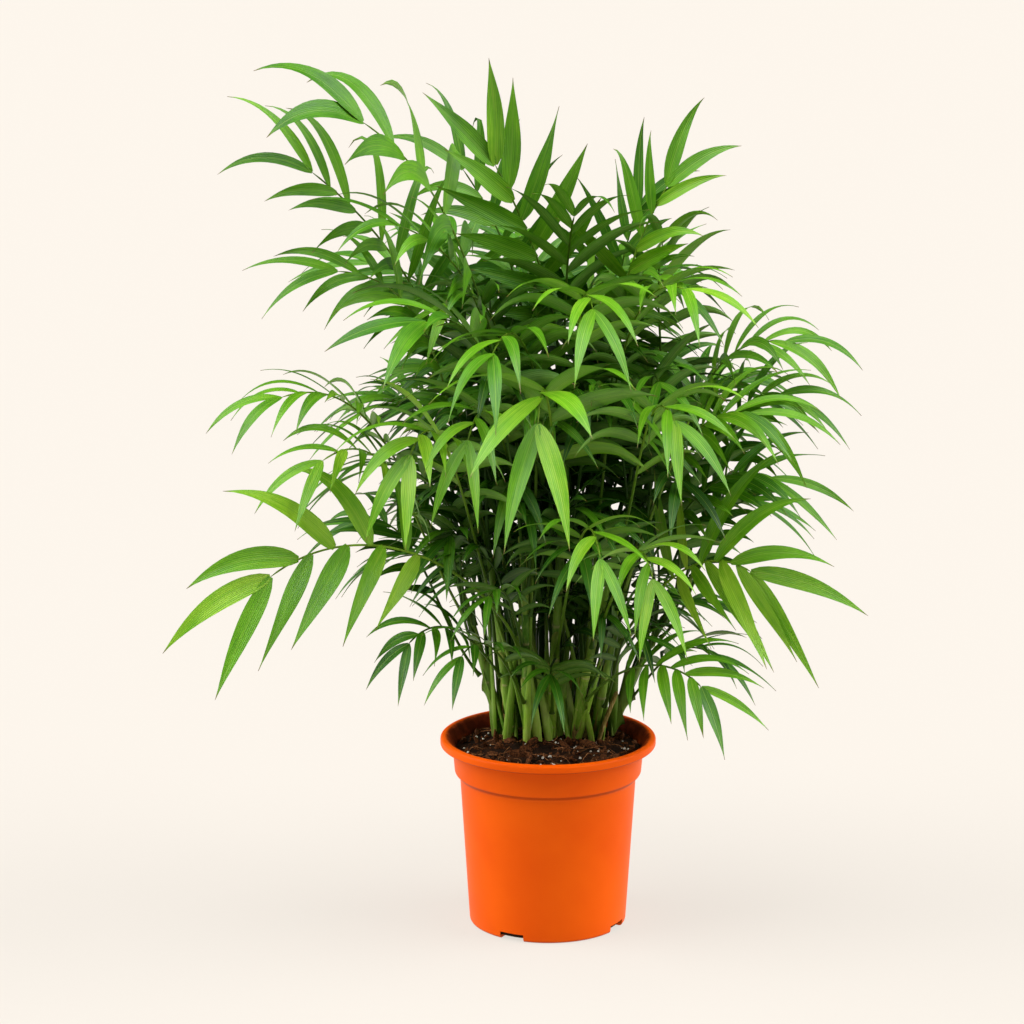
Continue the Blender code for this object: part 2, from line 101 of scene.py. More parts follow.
def mesh_object(name, points, faces, materials, which=None, uv=None, sharp=35, **values):
    """One object from points and faces, with materials (which: one per face), UV and values per point."""
    mesh = bpy.data.meshes.new(name)
    mesh.from_pydata(np.asarray(points, float).reshape(-1, 3).tolist(), [], faces)
    for mat in materials:
        mesh.materials.append(mat)
    if which is not None:
        mesh.polygons.foreach_set("material_index", np.asarray(which, np.int32))
    if uv is not None:
        corner = np.empty(len(mesh.loops), np.int32)
        mesh.loops.foreach_get("vertex_index", corner)
        layer = mesh.uv_layers.new(name="surface")
        layer.uv.foreach_set("vector", np.asarray(uv, np.float32).reshape(-1, 2)[corner].ravel())
    for key, value in values.items():
        per_point = mesh.attributes.new(key, "FLOAT", "POINT").data
        per_point.foreach_set("value", np.asarray(value, np.float32).ravel())
    mesh.shade_smooth()
    mesh.set_sharp_from_angle(angle=math.radians(sharp))
    mesh.update()
    obj = bpy.data.objects.new(name, mesh)
    bpy.context.scene.collection.objects.link(obj)
    return obj


def lin(code):
    """A #RRGGBB colour as linear RGBA."""
    parts = [int(code[i : i + 2], 16) / 255 for i in (1, 3, 5)]
    return [c / 12.92 if c <= 0.04045 else ((c + 0.055) / 1.055) ** 2.4 for c in parts] + [1]


def add(tree, kind, inputs=None, stops=None, **settings):
    """A shader node with its settings. An input is a value, a socket, or a node for its first output."""
    node = tree.nodes.new("ShaderNode" + kind)
    for key, value in settings.items():
        setattr(node, key, value)
    for key, value in (inputs or {}).items():
        if isinstance(value, bpy.types.Node):
            value = value.outputs[0]
        if isinstance(value, bpy.types.NodeSocket):
            tree.links.new(value, node.inputs[key])
        else:
            node.inputs[key].default_value = value
    if stops:
        ramp = node.color_ramp.elements
        for place, colour in stops[1:-1]:
            ramp.new(place).color = lin(colour)
        ramp[0].position, ramp[0].color = stops[0][0], lin(stops[0][1])
        ramp[-1].position, ramp[-1].color = stops[-1][0], lin(stops[-1][1])
    return node


def new_material(name):
    """An empty node material and its tree."""
    mat = bpy.data.materials.new(name)
    mat.use_nodes = True
    mat.node_tree.nodes.clear()
    return mat, mat.node_tree


def keep(piece, slot, *nodes):
    """A finished piece: it rides on the one body and stands for its CAD nodes. Its slot is not used."""
    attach(piece, "root")
    if nodes:
        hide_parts(*nodes)
    return piece


print("tools: unit, grid, tubes, swept, mesh_object, lin, add, new_material, keep")

# %% [markdown]
# The plant stands on a cream sweep between two broad soft sources at its sides, under a third from
# above. The sides of the pot are brightest and its front middle is darkest. The sky is that studio:
# it is dim in front and behind, and bright at left, right and overhead. Suns with a wide angle add
# direction. The sweep glows a little, as one lit by its own lamps does, so shadows on it stay faint,
# and past its edge a low view meets a cream backdrop of the same tone.

# %% The studio
scene = bpy.context.scene
scene.view_settings.view_transform = "Standard"

world = bpy.data.worlds.new("studio with side softboxes")
world.use_nodes = True
tree = world.node_tree
tree.nodes.clear()
ray = add(tree, "SeparateXYZ", {"Vector": add(tree, "TexCoord").outputs["Generated"]})
# The sky brightens sideways as |x|^3: the square drops the sign of x, and 1.5 makes it a cube.
sideways = add(tree, "Math", {0: ray.outputs["X"], 1: 2.0}, operation="POWER")
sideways = add(tree, "Math", {0: sideways, 1: 1.5}, operation="POWER")
overhead = add(tree, "MapRange", {"Value": ray.outputs["Z"], "From Min": 0.5, "To Max": 0.2})
level = add(tree, "Math", {0: sideways, 1: 1.65, 2: 0.05}, operation="MULTIPLY_ADD")
level = add(tree, "Math", {0: level, 1: overhead}, operation="ADD")
sky = add(tree, "Background", {"Color": lin("#FFFBF4"), "Strength": level})
backdrop = add(tree, "Background", {"Color": lin("#FDF6EC")})
seen = add(tree, "LightPath").outputs["Is Camera Ray"]
both = add(tree, "MixShader", {0: seen, 1: sky, 2: backdrop})
add(tree, "OutputWorld", {"Surface": both})
scene.world = world

for name, azimuth, elevation, strength, spread in (
    ("left softbox", 186, 42, 2.9, 45),
    ("right softbox", 354, 42, 3.0, 45),
    ("top softbox", 250, 76, 2.2, 40),
):
    light = bpy.data.lights.new(name, "SUN")
    light.energy = strength
    light.angle = math.radians(spread)
    lamp = bpy.data.objects.new(name, light)
    lamp.rotation_euler = (math.radians(90 - elevation), 0, math.radians(azimuth + 90))
    scene.collection.objects.link(lamp)

camera = bpy.data.objects.new("camera", bpy.data.cameras.new("camera"))
camera.location = (-0.0234, -2.2, 0.777)
camera.rotation_euler = (math.radians(90 - 12.89), 0, 0)
camera.data.lens = 123.9
camera.data.sensor_width = 36
camera.data.clip_end = 100
scene.collection.objects.link(camera)
scene.camera = camera

paper, tree = new_material("cream paper sweep")
shade = add(
    tree,
    "BsdfPrincipled",
    {
        "Base Color": (0.120, 0.113, 0.103, 1),
        "Roughness": 0.9,
        "Specular IOR Level": 0.0,
        "Emission Color": (0.706, 0.660, 0.604, 1),
        "Emission Strength": 1.0,
    },
)
add(tree, "OutputMaterial", {"Surface": shade})
side = np.array([-40.0, 40.0])
corners = np.stack(np.meshgrid(side, side), -1).reshape(-1, 2)
floor = mesh_object("sweep", np.c_[corners, np.zeros(4)], [[0, 1, 3, 2]], [paper])
floor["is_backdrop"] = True
print("studio: camera", [round(c, 3) for c in camera.location])

# %% [markdown]
# ## The pot
# A nursery pot is injection moulded in polypropylene: one thin tapered wall, a collar that lets pots
# nest, and a lip rolled outwards for stiffness. It is a profile turned round the axis. Each corner
# of the profile is rounded with a short curve, because a mould has no sharp edges.


# %% The pot's turned wall
def rounded(corners, steps=5):
    """A path through corners, (radius, height, rounding) in mm: each becomes a short quadratic curve."""
    p = np.array(corners, float)
    path = [p[0, :2]]
    for before, at, after in zip(p[:-2], p[1:-1], p[2:]):
        a, b = before[:2] - at[:2], after[:2] - at[:2]
        size = min(at[2], 0.45 * np.linalg.norm(a), 0.45 * np.linalg.norm(b))
        start, end = at[:2] + size * a / np.linalg.norm(a), at[:2] + size * b / np.linalg.norm(b)
        u = np.linspace(0, 1, steps)[:, None]
        path += list((1 - u) ** 2 * start + 2 * u * (1 - u) * at[:2] + u**2 * end)
    return np.array(path + [p[-1, :2]])


def lathe(path, sides):
    """A path of (radius, height) turned round +Z: point = (r cos a, r sin a, z). Its ends are closed flat."""
    a = np.linspace(0, 2 * math.pi, sides, endpoint=False)
    r, z = path[:, :1], path[:, 1:]
    points = np.stack([r * np.cos(a), r * np.sin(a), z + 0 * a], -1)
    return points.reshape(-1, 3), tubes(1, len(path), sides)


# Out under the floor, up the wall, over the lip and back down inside: radius, height, rounding in mm.
POT = [
    (0.5, 0, 0), (51, 0, 2.4), (57.2, 98.2, 2.5), (60.6, 101.2, 1.2), (62.2, 119.4, 0.5),
    (69.2, 119.3, 0.6), (70, 120.2, 0.5), (70, 124.2, 2.2), (67.4, 125.3, 1.5), (64.6, 124.4, 1.5),
    (62.2, 120.5, 2), (60.7, 117, 2), (59.4, 101.6, 1.5), (55.9, 97.2, 1.5), (49.8, 2.2, 0.5),
    (48.6, 1.6, 0.4), (0.5, 1.6, 0),
]
LONGEST_RUN = 9
path = rounded(POT)
# Long straight runs get extra rings, so the drain cuts don't stretch the shading.
runs = np.linalg.norm(np.diff(path, axis=0), axis=1)
steps = np.maximum(1, (runs / LONGEST_RUN).astype(int))
spans = zip(path[:-1], path[1:], steps)
rows = [a + (b - a) * np.linspace(0, 1, n, endpoint=False)[:, None] for a, b, n in spans]
points, faces = lathe(np.concatenate(rows + [path[-1:]]) * MM, 200)
pot = mesh_object("nursery_pot", points, faces, [], sharp=50)
print("pot wall:", len(faces), "faces")

# %% [markdown]
# Four drain openings are cut through the foot of the wall and 12 mm into the floor, so that water
# leaves even when the pot stands flat. A box takes each one out.

# %% The drains
turn = np.radians([62, 152, 242, 332])[:, None, None, None]
r, w, z = np.meshgrid([39 * MM, 57 * MM], [-8.5 * MM, 8.5 * MM], [-3 * MM, 5 * MM], indexing="ij")
boxes = np.stack([r * np.cos(turn) - w * np.sin(turn), r * np.sin(turn) + w * np.cos(turn), z + 0 * turn], -1)
shell = np.array([[0, 1, 3, 2], [4, 6, 7, 5], [0, 4, 5, 1], [2, 3, 7, 6], [0, 2, 6, 4], [1, 5, 7, 3]])
faces = (shell[None] + 8 * np.arange(4)[:, None, None]).reshape(-1, 4).tolist()
cutter = mesh_object("drain_cutter", boxes, faces, [])
drain = pot.modifiers.new("drains", "BOOLEAN")
drain.object = cutter
drain.solver = "EXACT"
graph = bpy.context.evaluated_depsgraph_get()
cut_mesh = bpy.data.meshes.new_from_object(pot.evaluated_get(graph))
pot.modifiers.clear()
pot.data = cut_mesh
bpy.data.objects.remove(cutter)
pot.data.shade_smooth()
pot.data.set_sharp_from_angle(angle=math.radians(30))
print("pot:", len(pot.data.polygons), "faces")

# %% [markdown]
# Polypropylene is a waxy plastic. Moulding leaves it satin, with a faint orange-peel from the steel
# and a little flow variation in the dye. Handling leaves potting dust in a film of fine specks,
# thickest near the lip, and wet soil has splashed the lip's inner side.

# %% Moulded orange polypropylene
plastic, tree = new_material("moulded orange polypropylene")
place = add(tree, "TexCoord").outputs["Object"]
flow = add(tree, "TexNoise", {"Vector": place, "Scale": 22.0, "Detail": 3.0})
dye = add(tree, "ValToRGB", {"Fac": flow}, stops=[(0.3, "#DE5102"), (0.7, "#E65B04")])
dust = add(tree, "TexNoise", {"Vector": place, "Scale": 700.0, "Detail": 4.0, "Roughness": 0.7})
specks = add(tree, "MapRange", {"Value": dust, "From Min": 0.66, "From Max": 0.78, "To Max": 0.5})
height = add(tree, "SeparateXYZ", {"Vector": place}).outputs["Z"]
high = add(tree, "MapRange", {"Value": height, "From Min": 0.095, "From Max": 0.124, "To Min": 0.25})
dirty = add(tree, "Math", {0: specks, 1: high}, operation="MULTIPLY")
# A point is on the inner side where its normal looks at the axis.
across = add(tree, "VectorMath", {0: place, 1: (1, 1, 0)}, operation="MULTIPLY")
facing = add(tree, "TexCoord").outputs["Normal"]
inward = add(tree, "VectorMath", {0: across, 1: facing}, operation="DOT_PRODUCT")
inner = add(tree, "MapRange", {"Value": inward.outputs["Value"], "From Min": -0.005, "From Max": -0.03})
splash = add(tree, "TexNoise", {"Vector": place, "Scale": 120.0, "Detail": 6.0, "Roughness": 0.65})
wet = add(tree, "MapRange", {"Value": splash, "From Min": 0.2, "From Max": 0.55, "To Max": 0.9})
rim_only = add(tree, "MapRange", {"Value": height, "From Min": 0.100, "From Max": 0.112})
smear = add(tree, "Math", {0: wet, 1: inner}, operation="MULTIPLY")
smear = add(tree, "Math", {0: smear, 1: rim_only}, operation="MULTIPLY")
soiled = add(tree, "Math", {0: smear, 1: dirty}, operation="MAXIMUM")
colour = add(tree, "Mix", {0: soiled, 6: dye, 7: lin("#3A1B0E")}, data_type="RGBA")
# Painted shade: two dark lines, in the corner under the lip and on the step under the collar, and a darker
# orange on every face that looks down, stand in for the shadow there.
wide = add(tree, "VectorMath", {0: across}, operation="LENGTH")
wall_only = add(tree, "MapRange", {"Value": wide.outputs["Value"], "From Min": 0.066, "From Max": 0.064})
near_lip = add(tree, "MapRange", {"Value": height, "From Min": 0.1166, "From Max": 0.1190, "To Max": 0.6})
corner = add(tree, "Math", {0: wall_only, 1: near_lip}, operation="MULTIPLY")
slope = add(tree, "SeparateXYZ", {"Vector": facing}).outputs["Z"]
step = add(tree, "MapRange", {"Value": slope, "From Min": -0.4, "From Max": -0.7, "To Max": 0.6})
crease_shade = add(tree, "Math", {0: corner, 1: step}, operation="MAXIMUM")
colour = add(tree, "Mix", {0: crease_shade, 6: colour.outputs[2], 7: lin("#7A2803")}, data_type="RGBA")
rough = add(tree, "MapRange", {"Value": soiled, "To Min": 0.42, "To Max": 0.8})
# Orange-peel from the mould is about 0.5 mm across and only just shows in a highlight.
peel = add(tree, "TexNoise", {"Vector": place, "Scale": 1900.0, "Detail": 2.0})
bump = add(tree, "Bump", {"Height": peel, "Strength": 0.12, "Distance": 0.0002})
surface = {"Base Color": colour.outputs[2], "Roughness": rough, "Normal": bump}
shade = add(tree, "BsdfPrincipled", {**surface, "IOR": 1.49, "Specular IOR Level": 0.06})
add(tree, "OutputMaterial", {"Surface": shade})
pot.data.materials.append(plastic)
keep(pot, "pot_plastic", "pot")
print("pot:", plastic.name, "with", len(tree.nodes), "nodes")

# %% [markdown]
# ## The soil
# Peat-based potting soil has settled round the canes: crumbs and clods of a few millimetres, a low
# mound where the root balls push up, and a damp dark surface. Its top is a height over the disc of
# the pot, the sum of a dome, many small rounded clods and a fine grain. Its sides follow the pot.


# %% The root ball
# Clods in three sizes: how many, their size across and their height, in metres.
CLODS = ((90, 0.0052, 0.0017), (520, 0.0019, 0.0011), (1500, 0.0008, 0.0005))


def clods(x, y, count, size, tall, seed):
    """Height of rounded clods at x, y: a sum of tall * exp(-(distance / size)^2), each of its own size."""
    part = np.random.default_rng(seed)
    far = 0.062 * np.sqrt(part.random(count))
    turn = 2 * math.pi * part.random(count)
    grow = part.uniform(0.6, 1.4, count)
    d2 = (x[..., None] - far * np.cos(turn)) ** 2 + (y[..., None] - far * np.sin(turn)) ** 2
    return (tall * grow * part.uniform(-0.4, 1, count) * np.exp(-d2 / (size * grow) ** 2)).sum(-1)


def soil_height(x, y):
    """The soil's top: a dome, a mound round the canes, and clods in three sizes that fade out at the pot."""
    r = np.hypot(x, y)
    dome = 0.1155 + 0.0030 * (1 - (r / 0.061) ** 2)
    mound = 0.0028 * np.exp(-(((x - 0.004) / 0.034) ** 2) - ((y - 0.016) / 0.028) ** 2)
    rough_top = sum(clods(x, y, *row, seed) for seed, row in enumerate(CLODS, 1))
    return dome + mound + rough_top * np.clip((0.0615 - r) / 0.002, 0.3, 1)


SOIL_RINGS, SOIL_SIDES = 84, 220
# The side runs down inside the pot's wall and across its floor: radius and height in mm.
SOIL_SIDE = [(59.0, 101.5), (55.4, 97), (49.4, 3.2), (48.2, 1.9), (0.5, 1.9)]
disc = np.linspace(0.0003, 0.0600, SOIL_RINGS)
outline = np.concatenate([np.c_[disc, 0 * disc], np.array(SOIL_SIDE) * MM])
points, faces = lathe(outline, SOIL_SIDES)
top = points[: SOIL_RINGS * SOIL_SIDES]
top[:, 2] = soil_height(top[:, 0], top[:, 1])
# This outline runs downwards, so its faces come out of lathe turned inwards.
faces = [face[::-1] for face in faces]

peat, tree = new_material("damp peat potting soil")
place = add(tree, "TexCoord").outputs["Object"]
crumb = add(tree, "TexNoise", {"Vector": place, "Scale": 480.0, "Detail": 8.0, "Roughness": 0.7})
patch = add(tree, "TexNoise", {"Vector": place, "Scale": 70.0, "Detail": 3.0})
mixed = add(tree, "Math", {0: crumb, 1: patch}, operation="MULTIPLY")
earth = add(
    tree,
    "ValToRGB",
    {"Fac": mixed},
    stops=[(0.12, "#0D0703"), (0.25, "#1F1108"), (0.36, "#3B210F"), (0.5, "#6C4324")],
)
bump = add(tree, "Bump", {"Height": crumb, "Strength": 0.9, "Distance": 0.0009})
damp = add(tree, "MapRange", {"Value": patch, "To Min": 0.7, "To Max": 0.98})
shade = add(
    tree,
    "BsdfPrincipled",
    {"Base Color": earth, "Roughness": damp, "Specular IOR Level": 0.06, "Normal": bump},
)
add(tree, "OutputMaterial", {"Surface": shade})
root_ball = mesh_object("root_ball", points, faces, [peat], sharp=80)
keep(root_ball, "potting_soil", "soil")
print("soil: top from", round(top[:, 2].min() / MM, 1), "to", round(top[:, 2].max() / MM, 1), "mm")

# %% [markdown]
# On the soil lie white perlite and crumbs and chips of bark. Every grain is one small ball of 36
# points, stretched and turned at random, because grains this small only show as their outline.

# %% Perlite and bark
BALL = 6
LOOSE = 0.058  # loose matter lies within this radius, clear of the pot


def scatter_grains(name, count, size, stretch, sink, seed, mat):
    """Grains on the soil: a ball of 6 rings of 6, times a size and a stretch, turned, at its height."""
    part = np.random.default_rng(seed)
    v = (np.linspace(0.12, 0.88, BALL) * math.pi)[:, None]
    u = np.linspace(0, 2 * math.pi, BALL, endpoint=False)
    ball = np.stack([np.sin(v) * np.cos(u), np.sin(v) * np.sin(u), np.cos(v) + 0 * u], -1).reshape(-1, 3)
    body = ball[None] * part.uniform(0.75, 1.2, (count, BALL**2, 1))
    body = body * (np.array(stretch) * part.uniform(0.7, 1.3, (count, 3)))[:, None]
    w, i, j, k = unit(part.normal(size=(count, 4))).T
    spin = np.array(
        [
            [1 - 2 * (j * j + k * k), 2 * (i * j - k * w), 2 * (i * k + j * w)],
            [2 * (i * j + k * w), 1 - 2 * (i * i + k * k), 2 * (j * k - i * w)],
            [2 * (i * k - j * w), 2 * (j * k + i * w), 1 - 2 * (i * i + j * j)],
        ]
    ).transpose(2, 0, 1)
    far, turn = LOOSE * np.sqrt(part.random(count)), 2 * math.pi * part.random(count)
    x, y = far * np.cos(turn), far * np.sin(turn)
    centre = np.stack([x, y, soil_height(x, y) + sink], -1)
    body = body * part.uniform(0.5, 1.5, (count, 1, 1)) * size
    points = np.einsum("nab,npb->npa", spin, body) + centre[:, None]
    faces = [face[::-1] for face in tubes(count, BALL, BALL)]
    return mesh_object(name, points, faces, [mat], sharp=30)


def grain_material(name, dark, light, rough):
    """A rough mineral or woody crumb: noise at the size of its pores between two colours."""
    mat, tree = new_material(name)
    place = add(tree, "TexCoord").outputs["Object"]
    pores = add(tree, "TexNoise", {"Vector": place, "Scale": 900.0, "Detail": 5.0})
    colour = add(tree, "ValToRGB", {"Fac": pores}, stops=[(0.35, dark), (0.65, light)])
    bump = add(tree, "Bump", {"Height": pores, "Strength": 0.6, "Distance": 0.0003})
    shade = add(
        tree,
        "BsdfPrincipled",
        {"Base Color": colour, "Roughness": rough, "Specular IOR Level": 0.1, "Normal": bump},
    )
    add(tree, "OutputMaterial", {"Surface": shade})
    return mat


perlite = grain_material("expanded perlite", "#A79C8C", "#E9E4D8", 0.9)
bark = grain_material("composted bark", "#1E0F07", "#6B3F21", 0.9)
keep(scatter_grains("perlite_grains", 90, 0.0008, (1, 1, 0.8), 0.0001, 11, perlite), "potting_soil")
keep(scatter_grains("bark_crumbs", 420, 0.0011, (1.3, 0.9, 0.6), 0.0001, 12, bark), "potting_soil")
keep(scatter_grains("bark_chips", 60, 0.0030, (1.6, 0.8, 0.4), 0.0006, 13, bark), "potting_soil")
print("on the soil: 90 grains of perlite, 480 pieces of bark")

# %% [markdown]
# Red-brown rootlets come up between the crumbs. Each is a thin tube along a short arc that follows
# the soil and lifts a little off it in the middle.

# %% Rootlets
rootlet = grain_material("dry palm rootlet", "#5A2E18", "#B0794A", 0.7)
count, rings, sides = 70, 9, 5
t = np.linspace(0, 1, rings)[None]
far, turn = 0.052 * np.sqrt(rng.random(count)), 2 * math.pi * rng.random(count)
way, curl = 2 * math.pi * rng.random((count, 1)), rng.uniform(-1.6, 1.6, (count, 1))
reach = rng.uniform(0.006, 0.020, (count, 1))
x = (far * np.cos(turn))[:, None] + reach * (np.cos(way + curl * t) * t)
y = (far * np.sin(turn))[:, None] + reach * (np.sin(way + curl * t) * t)
hug = np.minimum(1, LOOSE / np.hypot(x, y))
x, y = x * hug, y * hug
z = soil_height(x, y) + 0.0003 + rng.uniform(0, 0.0022, (count, 1)) * np.sin(math.pi * t)
line = np.stack([x, y, z], -1)
along = np.gradient(line, axis=1)
aside = unit(np.cross(along, [0, 0, 1.0]))
over = unit(np.cross(aside, along))
thick = 0.00026 * (1 - 0.7 * t) * rng.uniform(0.6, 1.3, (count, 1))
points = swept(line, aside, over, thick, thick, sides)
keep(mesh_object("rootlets", points, tubes(count, rings, sides), [rootlet]), "potting_soil")
print("rootlets:", count)

# %% [markdown]
# ## The plant's plan
# The canes and fronds stand where the solids stand, so the same plan is written here: for each cane
# its foot and top, and for each frond its cane, the height of its node, its tip, how it leaves the
# cane and ends, its leaflets, and the roll of its blade. A cane is a quadratic curve that starts
# upright and leans out. A frond's midrib is a cubic curve from its node to its tip.

# %% Canes and midribs
SOIL_TOP = 118 * MM
CANE_FOOT, CANE_TOP = 3.1 * MM, 1.9 * MM
RIB_FOOT, RIB_TIP, GAP = 1.1 * MM, 0.55 * MM, 0.3 * MM

# Foot x, foot y, top x, top y, top z, in mm.
CANES = [
    (-31, 20, -62, 14, 235),
    (-24, 10, -40, -12, 262),
    (-20, 30, -34, 40, 300),
    (-13, 2, -16, -30, 250),
    (-9, 20, -14, 8, 330),
    (-3, 38, -4, 62, 305),
    (2, 9, 10, -22, 285),
    (8, 24, 8, 20, 355),
    (14, 38, 34, 58, 290),
    (17, 9, 40, -26, 240),
    (22, 26, 30, 12, 330),
    (30, 15, 62, -4, 270),
    (34, 38, 66, 44, 285),
    (41, 27, 92, 20, 225),
    (-16, 43, -50, 60, 260),
]

# Cane, node height, tip x, y, z (mm), lean from the cane at the start and pitch at the tip (degrees),
# leaflet pairs, leaflet length (mm), roll of the blade (degrees), leaflet width as a part of its
# length, droop, the bare part of the midrib, and how bright its green is from 0 to 1.
FRONDS = [
    (0, 235, -166, -60, 360, 12, -10, 8, 58, 14, 0.125, 1.4, 0.42, 0.6),
    (0, 200, -140, -85, 325, 18, -20, 7, 60, 30, 0.12, 1.2, 0.42, 0.7),
    (0, 160, -125, 50, 255, 30, -20, 7, 58, 25, 0.12, 1.1, 0.42, 0.3),
    (1, 262, -132, -30, 434, 14, 5, 8, 64, 40, 0.12, 1.5, 0.42, 0.55),
    (1, 215, -85, -115, 335, 18, -45, 7, 66, 20, 0.14, 1.3, 0.42, 0.7),
    (1, 165, -88, -70, 205, 30, -30, 6, 46, 30, 0.14, 1.1, 0.42, 0.35),
    (2, 300, -148, -15, 494, 22, 38, 9, 78, 62, 0.11, 1.1, 0.42, 0.5),
    (2, 250, -112, 60, 425, 20, 5, 7, 62, 30, 0.12, 1.2, 0.42, 0.4),
    (3, 250, -75, -105, 415, 8, -5, 6, 80, 20, 0.16, 1.1, 0.42, 0.4),
    (3, 185, -171, -110, 258, 18, -30, 5, 88, 66, 0.15, 0.9, 0.52, 0.7),
    (3, 150, -55, -75, 198, 25, -30, 5, 44, 10, 0.14, 1.1, 0.42, 0.3),
    (4, 330, -115, -40, 528, 24, 34, 5, 84, 40, 0.19, 2.0, 0.5, 0.5),
    (4, 280, -92, -50, 465, 16, 20, 7, 68, 30, 0.12, 1.2, 0.42, 0.5),
    (4, 230, -50, -120, 345, 18, -45, 7, 64, 10, 0.125, 1.2, 0.42, 0.6),
    (5, 305, -55, 60, 486, 8, 55, 7, 66, 60, 0.125, 1.2, 0.42, 0.45),
    (5, 260, -20, 140, 430, 15, 0, 7, 62, 0, 0.12, 1.1, 0.42, 0.35),
    (5, 215, -70, 140, 340, 20, -20, 6, 60, 0, 0.12, 1.1, 0.42, 0.3),
    (6, 285, 25, -120, 425, 6, -30, 7, 68, 0, 0.125, 1.3, 0.42, 0.58),
    (6, 235, -8, -145, 360, 15, -60, 5, 86, 0, 0.16, 1.3, 0.42, 0.6),
    (6, 180, 30, -135, 275, 20, -45, 5, 58, 0, 0.13, 1.1, 0.42, 0.6),
    (7, 355, -34, 5, 496, 4, 62, 6, 73, 86, 0.18, 0.4, 0.3, 0.55),
    (7, 310, 15, -40, 470, 14, 35, 7, 64, 0, 0.12, 1.2, 0.42, 0.45),
    (7, 260, -35, -130, 400, 18, -25, 7, 68, 0, 0.125, 1.3, 0.42, 0.55),
    (8, 290, 58, 46, 462, 8, 66, 7, 64, -72, 0.14, 0.8, 0.42, 0.42),
    (8, 245, 70, 140, 405, 18, 0, 7, 62, 0, 0.12, 1.1, 0.42, 0.35),
    (8, 200, 20, 150, 310, 24, -20, 6, 60, 0, 0.12, 1.1, 0.42, 0.3),
    (9, 240, 75, -110, 355, 10, -35, 7, 66, -10, 0.12, 1.3, 0.42, 0.6),
    (9, 200, 62, -125, 260, 20, -50, 6, 58, -10, 0.13, 1.1, 0.42, 0.6),
    (9, 150, 96, -60, 174, 25, -34, 6, 54, -35, 0.14, 1.0, 0.42, 0.5),
    (12, 285, 72, 10, 446, 8, 50, 7, 58, 0, 0.12, 1.2, 0.42, 0.5),
    (10, 285, 82, -75, 430, 15, -5, 7, 64, -10, 0.12, 1.4, 0.42, 0.6),
    (11, 270, 126, -35, 345, 12, -5, 8, 66, -35, 0.12, 1.2, 0.42, 0.55),
    (11, 225, 140, -20, 300, 20, -20, 7, 62, -35, 0.12, 1.1, 0.42, 0.45),
    (11, 185, 126, -60, 249, 20, -20, 6, 94, -68, 0.115, 0.6, 0.5, 0.72),
    (10, 330, 74, 2, 483, 10, 60, 7, 64, -66, 0.15, 0.9, 0.42, 0.6),
    (12, 260, 150, 10, 382, 18, -5, 9, 60, -30, 0.12, 1.5, 0.42, 0.55),
    (12, 220, 122, 90, 345, 20, -5, 7, 60, -10, 0.12, 1.1, 0.42, 0.35),
    (13, 225, 148, 10, 348, 14, -5, 8, 62, -30, 0.12, 1.4, 0.42, 0.5),
    (13, 185, 135, 40, 270, 25, -25, 7, 58, -20, 0.12, 1.1, 0.42, 0.35),
    (14, 260, -70, 90, 440, 10, 10, 7, 62, 15, 0.12, 1.1, 0.42, 0.4),
    (14, 215, -108, 90, 330, 20, -10, 7, 58, 15, 0.12, 1.1, 0.42, 0.35),
    (14, 170, -90, 120, 250, 28, -25, 6, 56, 5, 0.12, 1.1, 0.42, 0.3),
]


def cane_radius(t):
    """A cane thins evenly from its foot, t = 0, to its top, t = 1."""
    return CANE_FOOT + (CANE_TOP - CANE_FOOT) * np.clip(t, 0, 1)


def cane_path(cane, t):
    """Points of a cane: a quadratic curve for t from 0 to 1, carried straight on past both its ends."""
    fx, fy, tx, ty, tz = np.array(cane) * MM
    foot, top = np.array([fx, fy, SOIL_TOP]), np.array([tx, ty, tz])
    knee = foot + (top - foot) * [0.35, 0.35, 0.5]
    t = np.asarray(t, float)[..., None]
    u = np.clip(t, 0, 1)
    curve = (1 - u) ** 2 * foot + 2 * u * (1 - u) * knee + u * u * top
    return curve + np.minimum(t, 0) * 2 * (knee - foot) + np.maximum(t - 1, 0) * 2 * (top - knee)


def cane_at(cane, z):
    """Centre, direction and radius of a cane at a height."""
    t = np.linspace(0, 1, 401)
    line = cane_path(cane, t)
    i = min(int(np.searchsorted(line[:, 2], z)), 399)
    return line[i], unit(line[i + 1] - line[i]), cane_radius(t[i])


def midrib(frond, t):
    """Points, directions and heading of a midrib: (1-t)^3 base + 3t(1-t)^2 p1 + 3t^2(1-t) p2 + t^3 tip."""
    cane, node, tip_x, tip_y, tip_z, lean, pitch = frond[:7]
    centre, grow, radius = cane_at(CANES[cane], node * MM)
    tip = np.array([tip_x, tip_y, tip_z]) * MM
    heading = math.atan2(tip[1] - centre[1], tip[0] - centre[0])
    out, up = np.array([math.cos(heading), math.sin(heading), 0]), np.array([0, 0, 1.0])
    off = unit(out - (out @ grow) * grow)
    if node >= CANES[cane][4]:
        base = cane_path(CANES[cane], 1.0) + 2.2 * GAP * grow
    else:
        base = centre + off * (radius + 1.5 * RIB_FOOT + GAP)
    lean, pitch = math.radians(lean), math.radians(pitch)
    reach = 0.38 * np.linalg.norm(tip - base)
    p1 = base + reach * (math.cos(lean) * grow + math.sin(lean) * off)
    p2 = tip - reach * (math.cos(pitch) * out + math.sin(pitch) * up)
    t = np.asarray(t, float)[:, None]
    line = (1 - t) ** 3 * base + 3 * t * (1 - t) ** 2 * p1 + 3 * t**2 * (1 - t) * p2 + t**3 * tip
    slope = (1 - t) ** 2 * (p1 - base) + 2 * t * (1 - t) * (p2 - p1) + t**2 * (tip - p2)
    return line, unit(slope), heading


